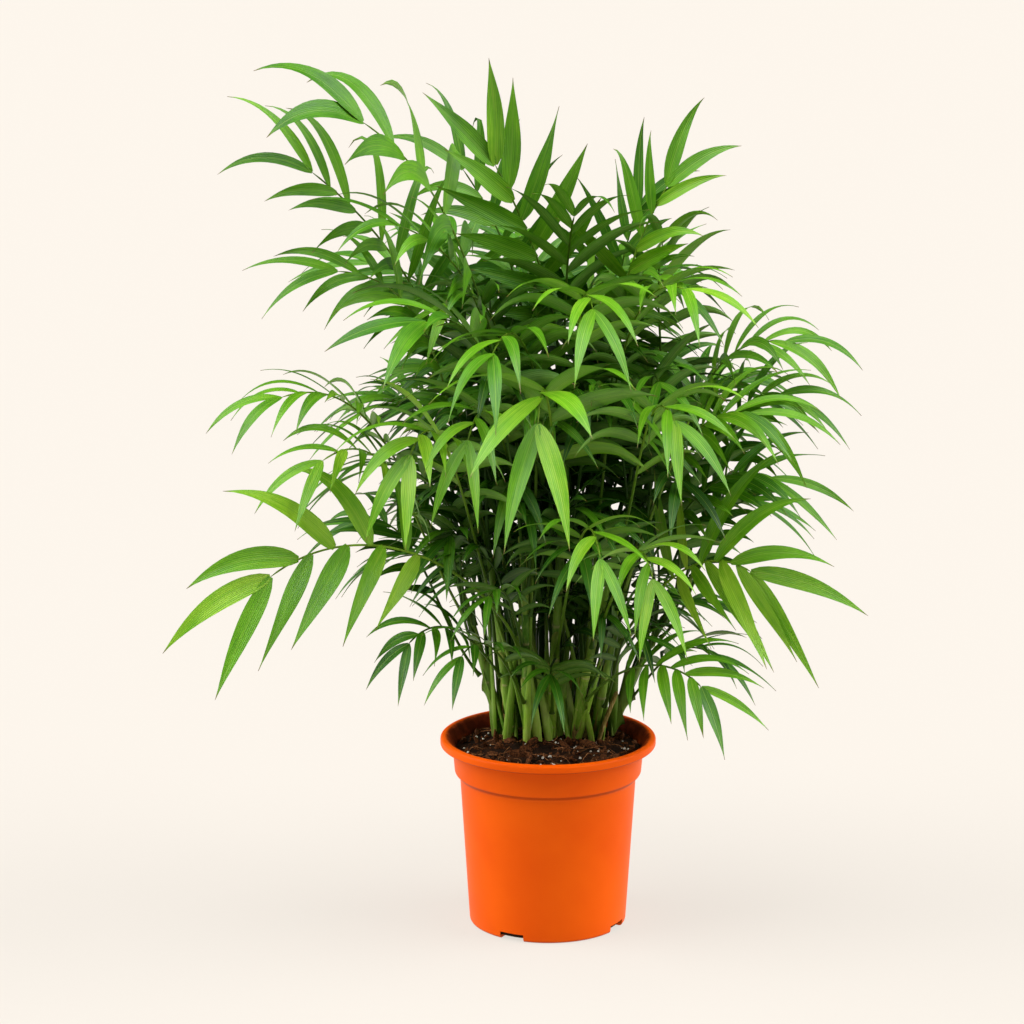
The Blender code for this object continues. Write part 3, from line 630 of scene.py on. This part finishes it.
def blade_axes(tangents, heading, roll):
    """The blade's sideways and upward directions along the midrib, rolled about it by an angle."""
    aside = np.array([math.sin(heading), -math.cos(heading), 0.0])
    up = unit(np.cross(aside, tangents))
    return math.cos(roll) * aside + math.sin(roll) * up, math.cos(roll) * up - math.sin(roll) * aside


print(len(CANES), "canes,", len(FRONDS), "fronds")

# %% [markdown]
# ## Leaflets
# A leaflet is a long lance-shaped blade, 0.3 mm thick, that leaves the midrib at a wide angle near
# the foot of the frond and a narrow one near its tip. Its own weight bends it down. It has one
# middle vein in a shallow fold and many fine veins beside it. Each one is a closed skin over a grid:
# rings of eight points along its length, five on top and three underneath, thickest at the middle.
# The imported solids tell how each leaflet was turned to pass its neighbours, so each drawn one is
# matched to its solid by the place of its tip.

# %% How a leaflet grows
TURNS = np.array([0, 14, -14, 28, -28])
KEEPS = np.array([1.0, 0.75, 0.5, 0.32])
RINGS = 15


def leaflets(frond, seed):
    """Every leaflet of a frond as arrays, two to a pair: root, directions, angles and size."""
    pairs, length, roll, width, droop, bare = frond[7:13]
    chance = np.random.default_rng(seed).random((2 * pairs, 6))
    s = np.repeat(np.arange(pairs), 2) / (pairs - 1)
    hand = np.tile([1.0, -1.0], pairs)
    t = bare + (1 - bare) * s + hand * (1 - bare) * 0.18 / (pairs - 1) * (s < 1)
    root, along, heading = midrib(frond, t)
    side, up = blade_axes(along, heading, math.radians(roll))
    size = length * MM * (0.74 + 1.05 * s * (1 - s)) * (0.9 + 0.18 * chance[:, 0])
    broad = width * length * MM * (0.8 + 0.9 * s * (1 - s)) * (0.9 + 0.2 * chance[:, 1])
    return {
        "root": root,
        "along": along,
        "side": side * hand[:, None],
        "up": up,
        "hand": hand,
        "spread": np.radians(68 - 46 * s**1.2 - 6 + 12 * chance[:, 2]),
        "lift": np.radians(6 + 20 * chance[:, 3]),
        "twist": np.radians(-25 + 50 * chance[:, 4]),
        "droop": droop * (0.6 + 0.8 * chance[:, 5]),
        "length": np.where(s == 1, 0.95 * length * MM, size),
        "width": np.where(s == 1, 1.2 * broad, broad),
    }


def leaf_lines(leaf, turn, keep_part, rings=RINGS):
    """Middle line, edge and face directions: the way out bends down with u^1.6, and its sum is the line."""
    u = np.linspace(0, 1, rings)[None, :, None]
    lift = (leaf["lift"] + np.radians(turn))[:, None]
    spread = leaf["spread"][:, None]
    out = np.cos(lift) * leaf["side"] + np.sin(lift) * leaf["up"]
    first = (np.cos(spread) * leaf["along"] + np.sin(spread) * out)[:, None]
    sag = u**1.6 * leaf["droop"][:, None, None] * np.array([0, 0, -1.0])
    way = unit(first + sag + 0.3 * u * leaf["along"][:, None])
    step = (way[:, 1:] + way[:, :-1]) / 2 * (leaf["length"] * keep_part)[:, None, None] / (rings - 1)
    walked = np.concatenate([np.zeros_like(step[:, :1]), np.cumsum(step, axis=1)], axis=1)
    middle = leaf["root"][:, None] + walked
    up = leaf["up"][:, None]
    face = unit(up - (way * up).sum(-1, keepdims=True) * way)
    edge = np.cross(face, way) * leaf["hand"][:, None, None]
    a = leaf["twist"][:, None, None] * u
    return middle, np.cos(a) * edge + np.sin(a) * face, np.cos(a) * face - np.sin(a) * edge


def as_packed(leaf, node):
    """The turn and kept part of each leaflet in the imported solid, found by its tip; 0 if left off."""
    points = np.empty(3 * len(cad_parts[node].data.vertices), np.float32)
    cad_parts[node].data.vertices.foreach_get("co", points)
    points = points.reshape(-1, 3)
    k = len(leaf["hand"])
    choices = [(turn, part) for part in KEEPS for turn in TURNS]
    tips = np.stack([leaf_lines(leaf, np.full(k, t), np.full(k, p), 10)[0][:, -1] for t, p in choices], 1)
    near = np.linalg.norm(tips[:, :, None] - points[None, None], axis=-1).min(-1)
    best = near.argmin(1)
    found = np.array(choices)[best]
    found[near.min(1) > 2 * MM] = 0
    return found[:, 0], found[:, 1]


print("a packed leaflet may be turned by", TURNS, "degrees and cut to", KEEPS, "of its length")

# %% [markdown]
# The leaf is built from those lines. Across it the points are at -1, -1/2, 0, 1/2 and 1 of its
# half-width on top, and at 1/2, 0 and -1/2 underneath. Its half-width grows as (u + 0.02)^0.65 and
# dies away as (1 - u)^1.3, which gives a wedge-shaped foot and a long drawn-out tip. Towards its
# tip a leaflet also turns about its own middle vein, some by 40 degrees, so that no two catch the
# light alike. The midrib is a tube that thins to the tip, wide and clasping at its foot.

# %% A frond's skin
ACROSS = np.array([-1, -0.5, 0, 0.5, 1, 0.5, 0, -0.5])
FACE = np.array([0, 1, 1, 1, 0, -1, -1, -1])
SIDES, RIB_RINGS = len(ACROSS), 40


def leaf_skin(leaf, turn, keep_part, part):
    """Points (leaflet, ring, 8), and their UV in mm, place along the leaf, side and dryness of tip."""
    middle, edge, face = leaf_lines(leaf, turn, keep_part)
    k = len(turn)
    u = np.linspace(0, 1, RINGS)
    turned = (part.normal(0, 0.45, (k, 1)) * u**2)[..., None]
    edge, face = np.cos(turned) * edge + np.sin(turned) * face, np.cos(turned) * face - np.sin(turned) * edge
    shape = (u + 0.02) ** 0.65 * (1 - u) ** 1.3 / 0.3 + 0.012
    half = leaf["width"][:, None] / 2 * shape
    fold = part.uniform(0.10, 0.34, (k, 1)) * half
    crest = part.uniform(0.02, 0.09, (k, 1)) * half
    wave = crest * np.sin(part.uniform(5, 11, (k, 1)) * u + part.uniform(0, 6, (k, 1)))
    v = ACROSS[None, None]
    thick = 0.00017 * (1 - 0.85 * v**2) * FACE
    aside = half[..., None] * v
    rise = fold[..., None] * np.abs(v) + wave[..., None] * v + thick
    points = middle[:, :, None] + edge[:, :, None] * aside[..., None] + face[:, :, None] * rise[..., None]
    down = (leaf["length"] * keep_part)[:, None, None] * u[:, None] / MM
    uv = np.stack([aside / MM, down + 0 * v], -1)
    dying = np.where(part.random((k, 1)) < 0.16, part.uniform(0.02, 0.10, (k, 1)), 0.012)
    dry = np.clip((u - (1 - dying)) / (0.4 * dying), 0, 1)[..., None] + 0 * v
    under = (FACE < 0) + 0 * half[..., None]
    return points, uv, u[:, None] + 0 * aside, under, dry


def frond_piece(name, frond, seed, tone, turn=0.0, keep_part=1.0):
    """One frond: its leaflets and its midrib, as one object with two materials."""
    part = np.random.default_rng(1000 + seed)
    leaf = leaflets(frond, seed)
    turn, keep_part = turn + 0 * leaf["hand"], keep_part + 0 * leaf["hand"]
    there = keep_part > 0
    leaf = {key: value[there] for key, value in leaf.items()}
    turn, keep_part = turn[there], keep_part[there]
    points, uv, place, under, dry = leaf_skin(leaf, turn, keep_part, part)
    tones = np.clip(tone + part.uniform(-0.15, 0.15, (len(turn), 1, 1)), 0, 1) + 0 * place
    faces = tubes(len(turn), RINGS, SIDES)
    which = [0] * len(faces)

    t = np.linspace(0, 1, RIB_RINGS)
    line, along, heading = midrib(frond, t)
    side, up = blade_axes(along, heading, math.radians(frond[9]))
    radius = (RIB_FOOT + (RIB_TIP - RIB_FOOT) * t) * (1 + 0.9 * np.exp(-t / 0.025))
    radius[-1] *= 0.3
    rib = swept(line, side, up, radius, 0.85 * radius, SIDES)
    rib_uv = np.stack(np.meshgrid(np.linspace(0, 2 * math.pi, SIDES, endpoint=False), t), -1)
    tube = tubes(1, RIB_RINGS, SIDES, start=points.size // 3)

    def with_rib(values, rib_value):
        """The leaflets' values at every point, and then the midrib's."""
        return np.concatenate([values.ravel(), np.broadcast_to(rib_value, (RIB_RINGS, SIDES)).ravel()])

    return mesh_object(
        name,
        np.concatenate([points.reshape(-1, 3), rib.reshape(-1, 3)]),
        faces + tube,
        [LEAF, RIB],
        which + [1] * len(tube),
        np.concatenate([uv.reshape(-1, 2), rib_uv.reshape(-1, 2)]),
        sharp=48,
        tone=with_rib(tones, tone),
        place=with_rib(place, t[:, None]),
        under=with_rib(under, 0),
        dry=with_rib(dry, 0),
    )


print("a leaflet has", RINGS * SIDES, "points, a midrib", RIB_RINGS * SIDES)

# %% [markdown]
# ## Living surfaces
# Inside the crown little light is left, so shade is painted into the colour: it is drawn towards a
# deep green near the heart of the clump. That is worked out once, for leaves, midribs and canes alike.

# %% Shade at the heart of the crown
PAINTED_SHADE_GREEN = lin("#0B3402")


def heart_shade(tree, place, colour):
    """Painted shade: a colour turned deep green towards the heart of the crown, with how far it is from it,
    0.1 to 1.
    """
    from_heart = add(tree, "VectorMath", {0: place, 1: (0.0, 0.03, 0.30)}, operation="SUBTRACT")
    scaled = add(tree, "VectorMath", {0: from_heart, 1: (5.6, 5.6, 4.0)}, operation="MULTIPLY")
    far = add(tree, "VectorMath", {0: scaled}, operation="LENGTH")
    light = add(
        tree,
        "MapRange",
        {"Value": far.outputs["Value"], "From Min": 0.15, "From Max": 0.85, "To Min": 0.1},
        interpolation_type="SMOOTHSTEP",
    )
    shaded = add(tree, "Mix", {0: light, 6: PAINTED_SHADE_GREEN, 7: colour}, data_type="RGBA")
    return shaded.outputs[2], light.outputs[0]


print("deep green:", [round(c, 3) for c in PAINTED_SHADE_GREEN])

# %% [markdown]
# A parlour palm's leaflet is thin and satin: a waxy skin gives a soft shine, light comes through it
# and turns yellow-green, and its underside is paler and duller. Young leaflets are bright, old and
# shaded ones dark. The middle vein is a pale line, the side veins run along the blade about 1 mm
# apart between broader streaks, and the hair-fine tip dries brown. Each leaflet carries its own tone.

# %% The leaflet's material
LEAF, tree = new_material("living palm leaflet")
place = add(tree, "TexCoord").outputs["Object"]
given = [add(tree, "Attribute", attribute_name=name) for name in ("tone", "under", "dry", "place")]
tone, under, dry, along = [attribute.outputs["Fac"] for attribute in given]
mottle = add(tree, "TexNoise", {"Vector": place, "Scale": 55.0, "Detail": 4.0})
shift = add(tree, "Math", {0: mottle, 1: 0.34, 2: -0.17}, operation="MULTIPLY_ADD")
# Long streaks run down the blade, 1 to 2 mm wide, and differ from leaflet to leaflet.
surface = add(tree, "UVMap", uv_map="surface")
drawn_out = add(tree, "VectorMath", {0: surface, 1: (0.8, 0.045, 0.0)}, operation="MULTIPLY")
own = add(tree, "Math", {0: tone, 1: 40.0}, operation="MULTIPLY")
streaks = add(
    tree,
    "TexNoise",
    {"Vector": drawn_out, "W": own, "Scale": 1.0, "Detail": 3.0},
    noise_dimensions="4D",
)
shift = add(tree, "Math", {0: streaks, 1: 0.5, 2: shift}, operation="MULTIPLY_ADD")
shift = add(tree, "Math", {0: shift, 1: 0.25}, operation="SUBTRACT")
paler = add(tree, "Math", {0: along, 1: -0.10, 2: shift}, operation="MULTIPLY_ADD")
level = add(tree, "Math", {0: tone, 1: paler}, operation="ADD")
green = add(
    tree,
    "ValToRGB",
    {"Fac": level},
    stops=[(0.0, "#1F4E03"), (0.3, "#417F08"), (0.6, "#6BAA0F"), (0.85, "#98C62E"), (1.0, "#BCD84E")],
)
blade_x = add(tree, "SeparateXYZ", {"Vector": surface}).outputs["X"]
middle = add(tree, "Math", {0: blade_x}, operation="ABSOLUTE")
vein = add(tree, "MapRange", {"Value": middle, "From Min": 0.35, "From Max": 0.12, "To Max": 0.3})
veined = add(tree, "Mix", {0: vein, 6: green, 7: lin("#A5C64E")}, data_type="RGBA")
# Side veins every 1.1 mm: a sine of the distance across the blade.
beat = add(tree, "Math", {0: blade_x, 1: 2 * math.pi / 1.1}, operation="MULTIPLY")
ridges = add(tree, "Math", {0: beat}, operation="SINE")
line = add(tree, "MapRange", {"Value": ridges, "From Min": 0.2, "To Max": 0.28})
lined = add(tree, "Mix", {0: line, 6: veined.outputs[2], 7: lin("#244F06")}, data_type="RGBA")
pale = add(tree, "Math", {0: under, 1: 0.38}, operation="MULTIPLY")
backed = add(tree, "Mix", {0: pale, 6: lined.outputs[2], 7: lin("#86A850")}, data_type="RGBA")
tipped = add(tree, "Mix", {0: dry, 6: backed.outputs[2], 7: lin("#6E4A26")}, data_type="RGBA")
leaf_colour, light = heart_shade(tree, place, tipped.outputs[2])
# The painted shade at the heart of the crown also dims the gloss.
gloss = add(tree, "Math", {0: light, 1: 0.42}, operation="MULTIPLY")
bump = add(tree, "Bump", {"Height": ridges, "Strength": 0.35, "Distance": 0.0002})
wax = add(tree, "MapRange", {"Value": mottle, "To Min": 0.3, "To Max": 0.5})
skin = add(
    tree,
    "BsdfPrincipled",
    {"Base Color": leaf_colour, "Roughness": wax, "Specular IOR Level": gloss, "Normal": bump},
)
glow = add(tree, "VectorMath", {0: leaf_colour, 1: (1.5, 1.35, 0.5)}, operation="MULTIPLY")
through = add(tree, "BsdfTranslucent", {"Color": glow})
leaf_mix = add(tree, "MixShader", {0: 0.24, 1: skin, 2: through})
add(tree, "OutputMaterial", {"Surface": leaf_mix})
print("leaf:", LEAF.name, "with", len(tree.nodes), "nodes")

# %% [markdown]
# The midrib and its stalk are firm and slightly ribbed, a yellower green than the blade, with short
# dull streaks where they have weathered.

# %% The midrib's material
RIB, tree = new_material("palm midrib and petiole")
place = add(tree, "TexCoord").outputs["Object"]
tone = add(tree, "Attribute", attribute_name="tone").outputs["Fac"]
green = add(
    tree,
    "ValToRGB",
    {"Fac": tone},
    stops=[(0.0, "#243C08"), (0.45, "#466B10"), (0.7, "#739A1F"), (1.0, "#9DBB38")],
)
streak = add(tree, "TexNoise", {"Vector": place, "Scale": 240.0, "Detail": 3.0})
tint = add(tree, "MapRange", {"Value": streak, "From Min": 0.35, "From Max": 0.75, "To Max": 0.5})
dull = add(tree, "Mix", {0: tint, 6: green, 7: lin("#3A3516")}, data_type="RGBA")
rib_colour, light = heart_shade(tree, place, dull.outputs[2])
shade = add(tree, "BsdfPrincipled", {"Base Color": rib_colour, "Roughness": 0.42, "Specular IOR Level": 0.15})
add(tree, "OutputMaterial", {"Surface": shade})
print("midrib:", RIB.name, "with", len(tree.nodes), "nodes")

# %% [markdown]
# Every packed frond gets its skin. Fronds that reach to the front and up are given a bright green
# and those low down and at the back a darker one: painted light and shade.

# %% The fronds
left_off = 0
for i, frond in enumerate(FRONDS):
    node = f"frond_{i + 1:02d}"
    turn, kept = as_packed(leaflets(frond, i), node)
    left_off += int((kept == 0).sum())
    keep(frond_piece(f"palm_frond_{i + 1:02d}", frond, i, frond[13], turn, kept), "palm_leaf", node)
print("fronds:", len(FRONDS), "with", left_off, "leaflets left off")

# %% [markdown]
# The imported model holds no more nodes, so the short inner fronds are made here only. They fill the
# heart of the clump, where the light hardly reaches: small, dark, and pointing every way. Each next
# one is turned by the golden angle, as leaves are, so that no two stand over each other.

# %% The inner fronds
INNER = 88
GOLDEN_ANGLE = 137.5
# For a low, a middle and a high frond: how far its tip reaches out and up, and its leaflets, in mm.
REACH, RISE, LEAFLET = (38, 44, 30), (34, 66, 84), (42, 54, 54)
for i in range(INNER):
    tier = (1, 0, 2, 1)[i % 4]
    cane = (4 * i + 3 + i // 15) % len(CANES)
    top_z = CANES[cane][4]
    node = (140 + (17 * i) % 45, 185 + (37 * i) % max(20, top_z - 200), top_z - 8 - (11 * i) % 40)[tier]
    centre = cane_at(CANES[cane], node * MM)[0]
    heading = math.radians(GOLDEN_ANGLE * i + 200)
    reach, rise = REACH[tier] + (29 * i) % 42, RISE[tier] + (37 * i) % 52
    tip = centre / MM + np.array([reach * math.cos(heading), reach * math.sin(heading), rise])
    length, roll = LEAFLET[tier] + (13 * i) % 12, 12 * math.sin(i)
    frond = (cane, node, *tip, 16, -22, 6, length, roll, 0.125, 1.2, 0.4)
    # Painted shade: the inner fronds get a dark green, a little lighter the higher their node, for the shade
    # inside the clump.
    tone = 0.22 + 0.25 * ((node - 138) / 200) + 0.1 * math.sin(7.0 * i)
    keep(frond_piece(f"inner_frond_{i + 1:02d}", frond, 100 + i, tone), "palm_leaf")
print("inner fronds:", INNER)

# %% [markdown]
# ## Canes and sheaths
# A cane is a smooth green stem like thin bamboo. A pale scar rings it where each old frond fell. The
# foot of each living frond is a sleeve that wraps the cane for 3 to 4 cm and flares towards its frond.
# Two older sleeves stay at the foot of each cane, and a few of those are dry and brown. A cane is a
# tube whose radius swells at the scars. A sleeve is a thin double wall, closed over its rim.

# %% A sheath's wall
SLEEVE_RINGS, SLEEVE_SIDES = 14, 24
SLEEVE_WALL = 0.00022


def cane_frame(cane, t):
    """Centres and two directions across a cane at the places t."""
    line = cane_path(cane, t)
    along = unit(np.gradient(line, axis=0))
    across = unit(np.cross(along, [0.0, 1.0, 0.0]))
    return line, across, np.cross(across, along)


def sleeve(cane, low, high, heading, loose, flare):
    """A sheath's wall up its outside and down its inside, its rim cut aslant and flared towards heading."""
    s = np.r_[np.linspace(0, 1, SLEEVE_RINGS), np.linspace(1, 0, SLEEVE_RINGS)][:, None]
    inside = np.r_[np.zeros(SLEEVE_RINGS), np.ones(SLEEVE_RINGS)][:, None]
    a = np.linspace(0, 2 * math.pi, SLEEVE_SIDES, endpoint=False)[None]
    places = np.linspace(-0.2, 1.3, 600)
    t = np.interp((low + (high - low) * s).ravel(), cane_path(cane, places)[:, 2], places)
    _, across, over = cane_frame(cane, np.linspace(-0.2, 1.3, 301))
    pick = np.clip(((t + 0.2) / 1.5 * 300).round().astype(int), 0, 300)
    out = swept(np.zeros(3), across[pick], over[pick], 1, 1, SLEEVE_SIDES)
    facing = np.clip(out @ np.array([math.cos(heading), math.sin(heading), 0]), -1, 1)
    wall = cane_radius(t)[:, None] + loose * (0.35 + 0.65 * s) + flare * s**3 * np.clip(facing, 0, 1) ** 2
    wall = wall - inside * SLEEVE_WALL + 0.00008 * np.sin(5 * a + 9 * s) * s
    slant = (0.013 * facing * s**2)[..., None] * np.array([0, 0, 1.0])
    return cane_path(cane, t)[:, None] + out * wall[..., None] + slant, s


print("a sheath has", 2 * SLEEVE_RINGS * SLEEVE_SIDES, "points")

# %% [markdown]
# Cane and sheath share one skin: a firm green rind with fibres about 1 mm apart along it, pale in the
# scar rings, and straw-brown where a sheath has died or the foot of a cane is wet.

# %% The cane's material
CANE, tree = new_material("ringed palm cane and leaf sheath")
place = add(tree, "TexCoord").outputs["Object"]
given = [add(tree, "Attribute", attribute_name=name) for name in ("scar", "dead", "tone")]
scar, dead, tone = [attribute.outputs["Fac"] for attribute in given]
stretch = add(tree, "VectorMath", {0: place, 1: (1, 1, 0.12)}, operation="MULTIPLY")
fibre = add(tree, "TexNoise", {"Vector": stretch, "Scale": 900.0, "Detail": 4.0})
patch = add(tree, "TexNoise", {"Vector": place, "Scale": 60.0, "Detail": 3.0})
level = add(tree, "Math", {0: patch, 1: 0.5, 2: tone}, operation="MULTIPLY_ADD")
green = add(
    tree,
    "ValToRGB",
    {"Fac": level},
    stops=[(0.2, "#2E570B"), (0.5, "#568A18"), (0.75, "#86B032"), (1.0, "#B2CB60")],
)
lined = add(tree, "MapRange", {"Value": fibre, "From Min": 0.45, "From Max": 0.75, "To Max": 0.5})
lines = add(tree, "Mix", {0: lined, 6: green, 7: lin("#AFC268")}, data_type="RGBA")
ringed = add(tree, "Mix", {0: scar, 6: lines.outputs[2], 7: lin("#C4BC7E")}, data_type="RGBA")
husk = add(tree, "ValToRGB", {"Fac": fibre}, stops=[(0.3, "#4A3019"), (0.55, "#94733F"), (0.75, "#C9AE74")])
dried = add(tree, "Mix", {0: dead, 6: ringed.outputs[2], 7: husk}, data_type="RGBA")
# Painted shade: the canes at the back of the clump get little light, so their colour is drawn towards deep
# green.
depth = add(tree, "SeparateXYZ", {"Vector": place}).outputs["Y"]
back = add(tree, "MapRange", {"Value": depth, "From Min": 0.032, "From Max": 0.004, "To Min": 0.12})
dimmed = add(tree, "Mix", {0: back, 6: PAINTED_SHADE_GREEN, 7: dried.outputs[2]}, data_type="RGBA")
cane_colour, light = heart_shade(tree, place, dimmed.outputs[2])
# The painted shade at the heart of the crown also dims the gloss.
gloss = add(tree, "Math", {0: light, 1: 0.25}, operation="MULTIPLY")
bump = add(tree, "Bump", {"Height": fibre, "Strength": 0.35, "Distance": 0.0003})
rough = add(tree, "MapRange", {"Value": dead, "To Min": 0.4, "To Max": 0.85})
shade = add(
    tree,
    "BsdfPrincipled",
    {"Base Color": cane_colour, "Roughness": rough, "Specular IOR Level": gloss, "Normal": bump},
)
add(tree, "OutputMaterial", {"Surface": shade})
print("cane:", CANE.name, "with", len(tree.nodes), "nodes")

# %% [markdown]
# Each cane is drawn with its sleeves as one object, one closed shell for each of them. Its values per
# point say where its scars are, what is dead, and how light its green is.

# %% The canes
CANE_RINGS, CANE_SIDES = 110, 16
around = np.arange(SLEEVE_SIDES)
seam = np.stack([around, (around + 1) % SLEEVE_SIDES], -1)
for c, cane in enumerate(CANES):
    part = np.random.default_rng(500 + c)
    length = np.linalg.norm(cane_path(cane, 1.0) - cane_path(cane, 0.0))
    t = np.linspace(-0.016 / length, 1, CANE_RINGS)
    line, across, over = cane_frame(cane, t)
    up = t * length
    gap = part.uniform(0.021, 0.030)
    ring = np.exp(-((((up + 0.004 * c) % gap) - gap / 2) ** 2) / 0.0008**2) * (up > 0.004)
    radius = cane_radius(t) + 0.0003 * ring + 0.0003 * np.exp(-(np.abs(up) / 0.006))
    tube = swept(line, across, over, radius, radius, CANE_SIDES)
    wet_foot = 0.6 * np.exp(-np.clip(up, 0, 1) / 0.003)
    points, faces = [tube.reshape(-1, 3)], tubes(1, CANE_RINGS, CANE_SIDES)
    values = {
        "scar": [np.repeat(ring * 0.8, CANE_SIDES)],
        "dead": [np.repeat(wet_foot, CANE_SIDES)],
        "tone": [np.full(tube.size // 3, part.uniform(0.15, 0.4))],
    }
    # A sleeve is its low and high end, heading, looseness, flare, and how dead it is.
    sleeves = []
    for frond in FRONDS:
        if frond[0] == c:
            node, tip_x, tip_y = np.array(frond[1:4]) * MM
            centre = cane_at(cane, node)[0]
            way = math.atan2(tip_y - centre[1], tip_x - centre[0])
            sleeves.append((node - part.uniform(0.030, 0.042), node + 0.004, way, 0.0004, 0.0022, 0.0))
    for low in (0.116, 0.126 + part.uniform(0, 0.01)):
        dead_part = 0.9 if part.random() < 0.12 else 0.0
        high = low + part.uniform(0.02, 0.038)
        sleeves.append((low, high, part.uniform(0, 6.28), 0.0002, 0.0009, dead_part))
    for *place_and_form, dead_part in sleeves:
        wall, s = sleeve(cane, *place_and_form)
        start = sum(len(p) for p in points)
        # Under the foot of the wall the last ring, inside, is joined to the first, outside.
        close = np.c_[(len(wall) - 1) * SLEEVE_SIDES + seam, seam[:, ::-1]]
        faces += (start + grid(len(wall), SLEEVE_SIDES)).tolist() + (start + close).tolist()
        points.append(wall.reshape(-1, 3))
        rim = np.repeat(np.clip((s - 0.9) / 0.1, 0, 1) * 0.5, SLEEVE_SIDES, axis=1).ravel()
        values["scar"].append(0 * rim)
        values["dead"].append(np.clip(rim + dead_part, 0, 1))
        values["tone"].append(np.full(rim.size, part.uniform(0.3, 0.6)))
    values = {key: np.concatenate(value) for key, value in values.items()}
    piece = mesh_object(f"palm_cane_{c + 1:02d}", np.concatenate(points), faces, [CANE], sharp=50, **values)
    keep(piece, "palm_stem", f"stem_{c + 1:02d}")
print("canes:", len(CANES), "with their sheaths")

# %% [markdown]
# Between the canes stand the younger shoots. Each one is a broad flat sheath at the soil, folded
# round the next, and it narrows upwards to a round stalk that is lost among the leaves. Four come
# from one foot and part in a V. A shoot is a tube with an elliptical section. Its broad half-axis is
# 1 mm plus 3.3 mm * swell and its narrow one 0.9 mm plus 0.9 mm * swell, and the swell is
# (0.4 + height / 18 mm) * exp(-height / 20 mm), which is greatest 13 mm above the soil.

# %% Young shoots
part = np.random.default_rng(41)
rings, sides = 30, 10
foot = np.repeat(np.array([cane[:2] for cane in CANES], float), 4, axis=0) * MM
count = len(foot)
foot = foot + part.normal(0, 0.0032, (count, 2)) + [0.001, -0.003]
heading = part.uniform(0, 2 * math.pi, count) + np.tile([-0.9, -0.3, 0.3, 0.9], count // 4)
lean = part.uniform(0.018, 0.060, count)
dry_one = part.random(count) < 0.1
tall = np.where(dry_one, part.uniform(0.028, 0.06, count), part.uniform(0.10, 0.23, count))
away = np.c_[np.cos(heading), np.sin(heading)] * (lean * tall / 0.15)[:, None]
top = np.c_[foot + foot * 0.7 + away, SOIL_TOP + tall]
start = np.c_[foot, np.full(count, SOIL_TOP - 0.0035)]
knee = start + (top - start) * [0.4, 0.4, 0.5]
t = np.linspace(0, 1, rings)[None]
u = t[..., None]
line = (1 - u) ** 2 * start[:, None] + 2 * u * (1 - u) * knee[:, None] + u**2 * top[:, None]
along = unit(np.gradient(line, axis=1))
broad_way = part.uniform(0, 2 * math.pi, count)[:, None] + 0.6 * t
broad_side = np.stack([np.cos(broad_way), np.sin(broad_way), 0 * broad_way], -1)
across = unit(broad_side - (broad_side * along).sum(-1, keepdims=True) * along)
over = np.cross(along, across)
height = np.clip(line[..., 2] - SOIL_TOP, 0, 1)
swell = (0.4 + height / 0.018) * np.exp(-height / 0.020)
finish = np.clip((1 - t) / 0.04, 0.25, 1)
wide = (0.0010 + 0.0033 * swell * part.uniform(0.75, 1.2, (count, 1))) * finish
thin = (0.0009 + 0.0009 * swell) * finish
brown_foot = 0.8 * np.exp(-height / 0.003)
shape = (count, rings, sides)
shoots = mesh_object(
    "young_shoots",
    swept(line, across, over, wide, thin, sides),
    tubes(count, rings, sides),
    [CANE],
    sharp=60,
    scar=np.zeros(shape),
    dead=np.broadcast_to(np.where(dry_one[:, None], 0.9, brown_foot)[..., None], shape),
    tone=np.broadcast_to(part.uniform(0.25, 0.65, (count, 1, 1)), shape),
)
keep(shoots, "palm_stem")
print("young shoots:", count, "of them dry:", int(dry_one.sum()))

# %% [markdown]
# Last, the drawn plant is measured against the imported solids, because both must be the same size.

# %% Measure and finish
drawn_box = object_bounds()
for name, box in (("drawn", drawn_box), ("packed", cad_box)):
    print(name, [[round(v / MM, 1) for v in p] for p in box])
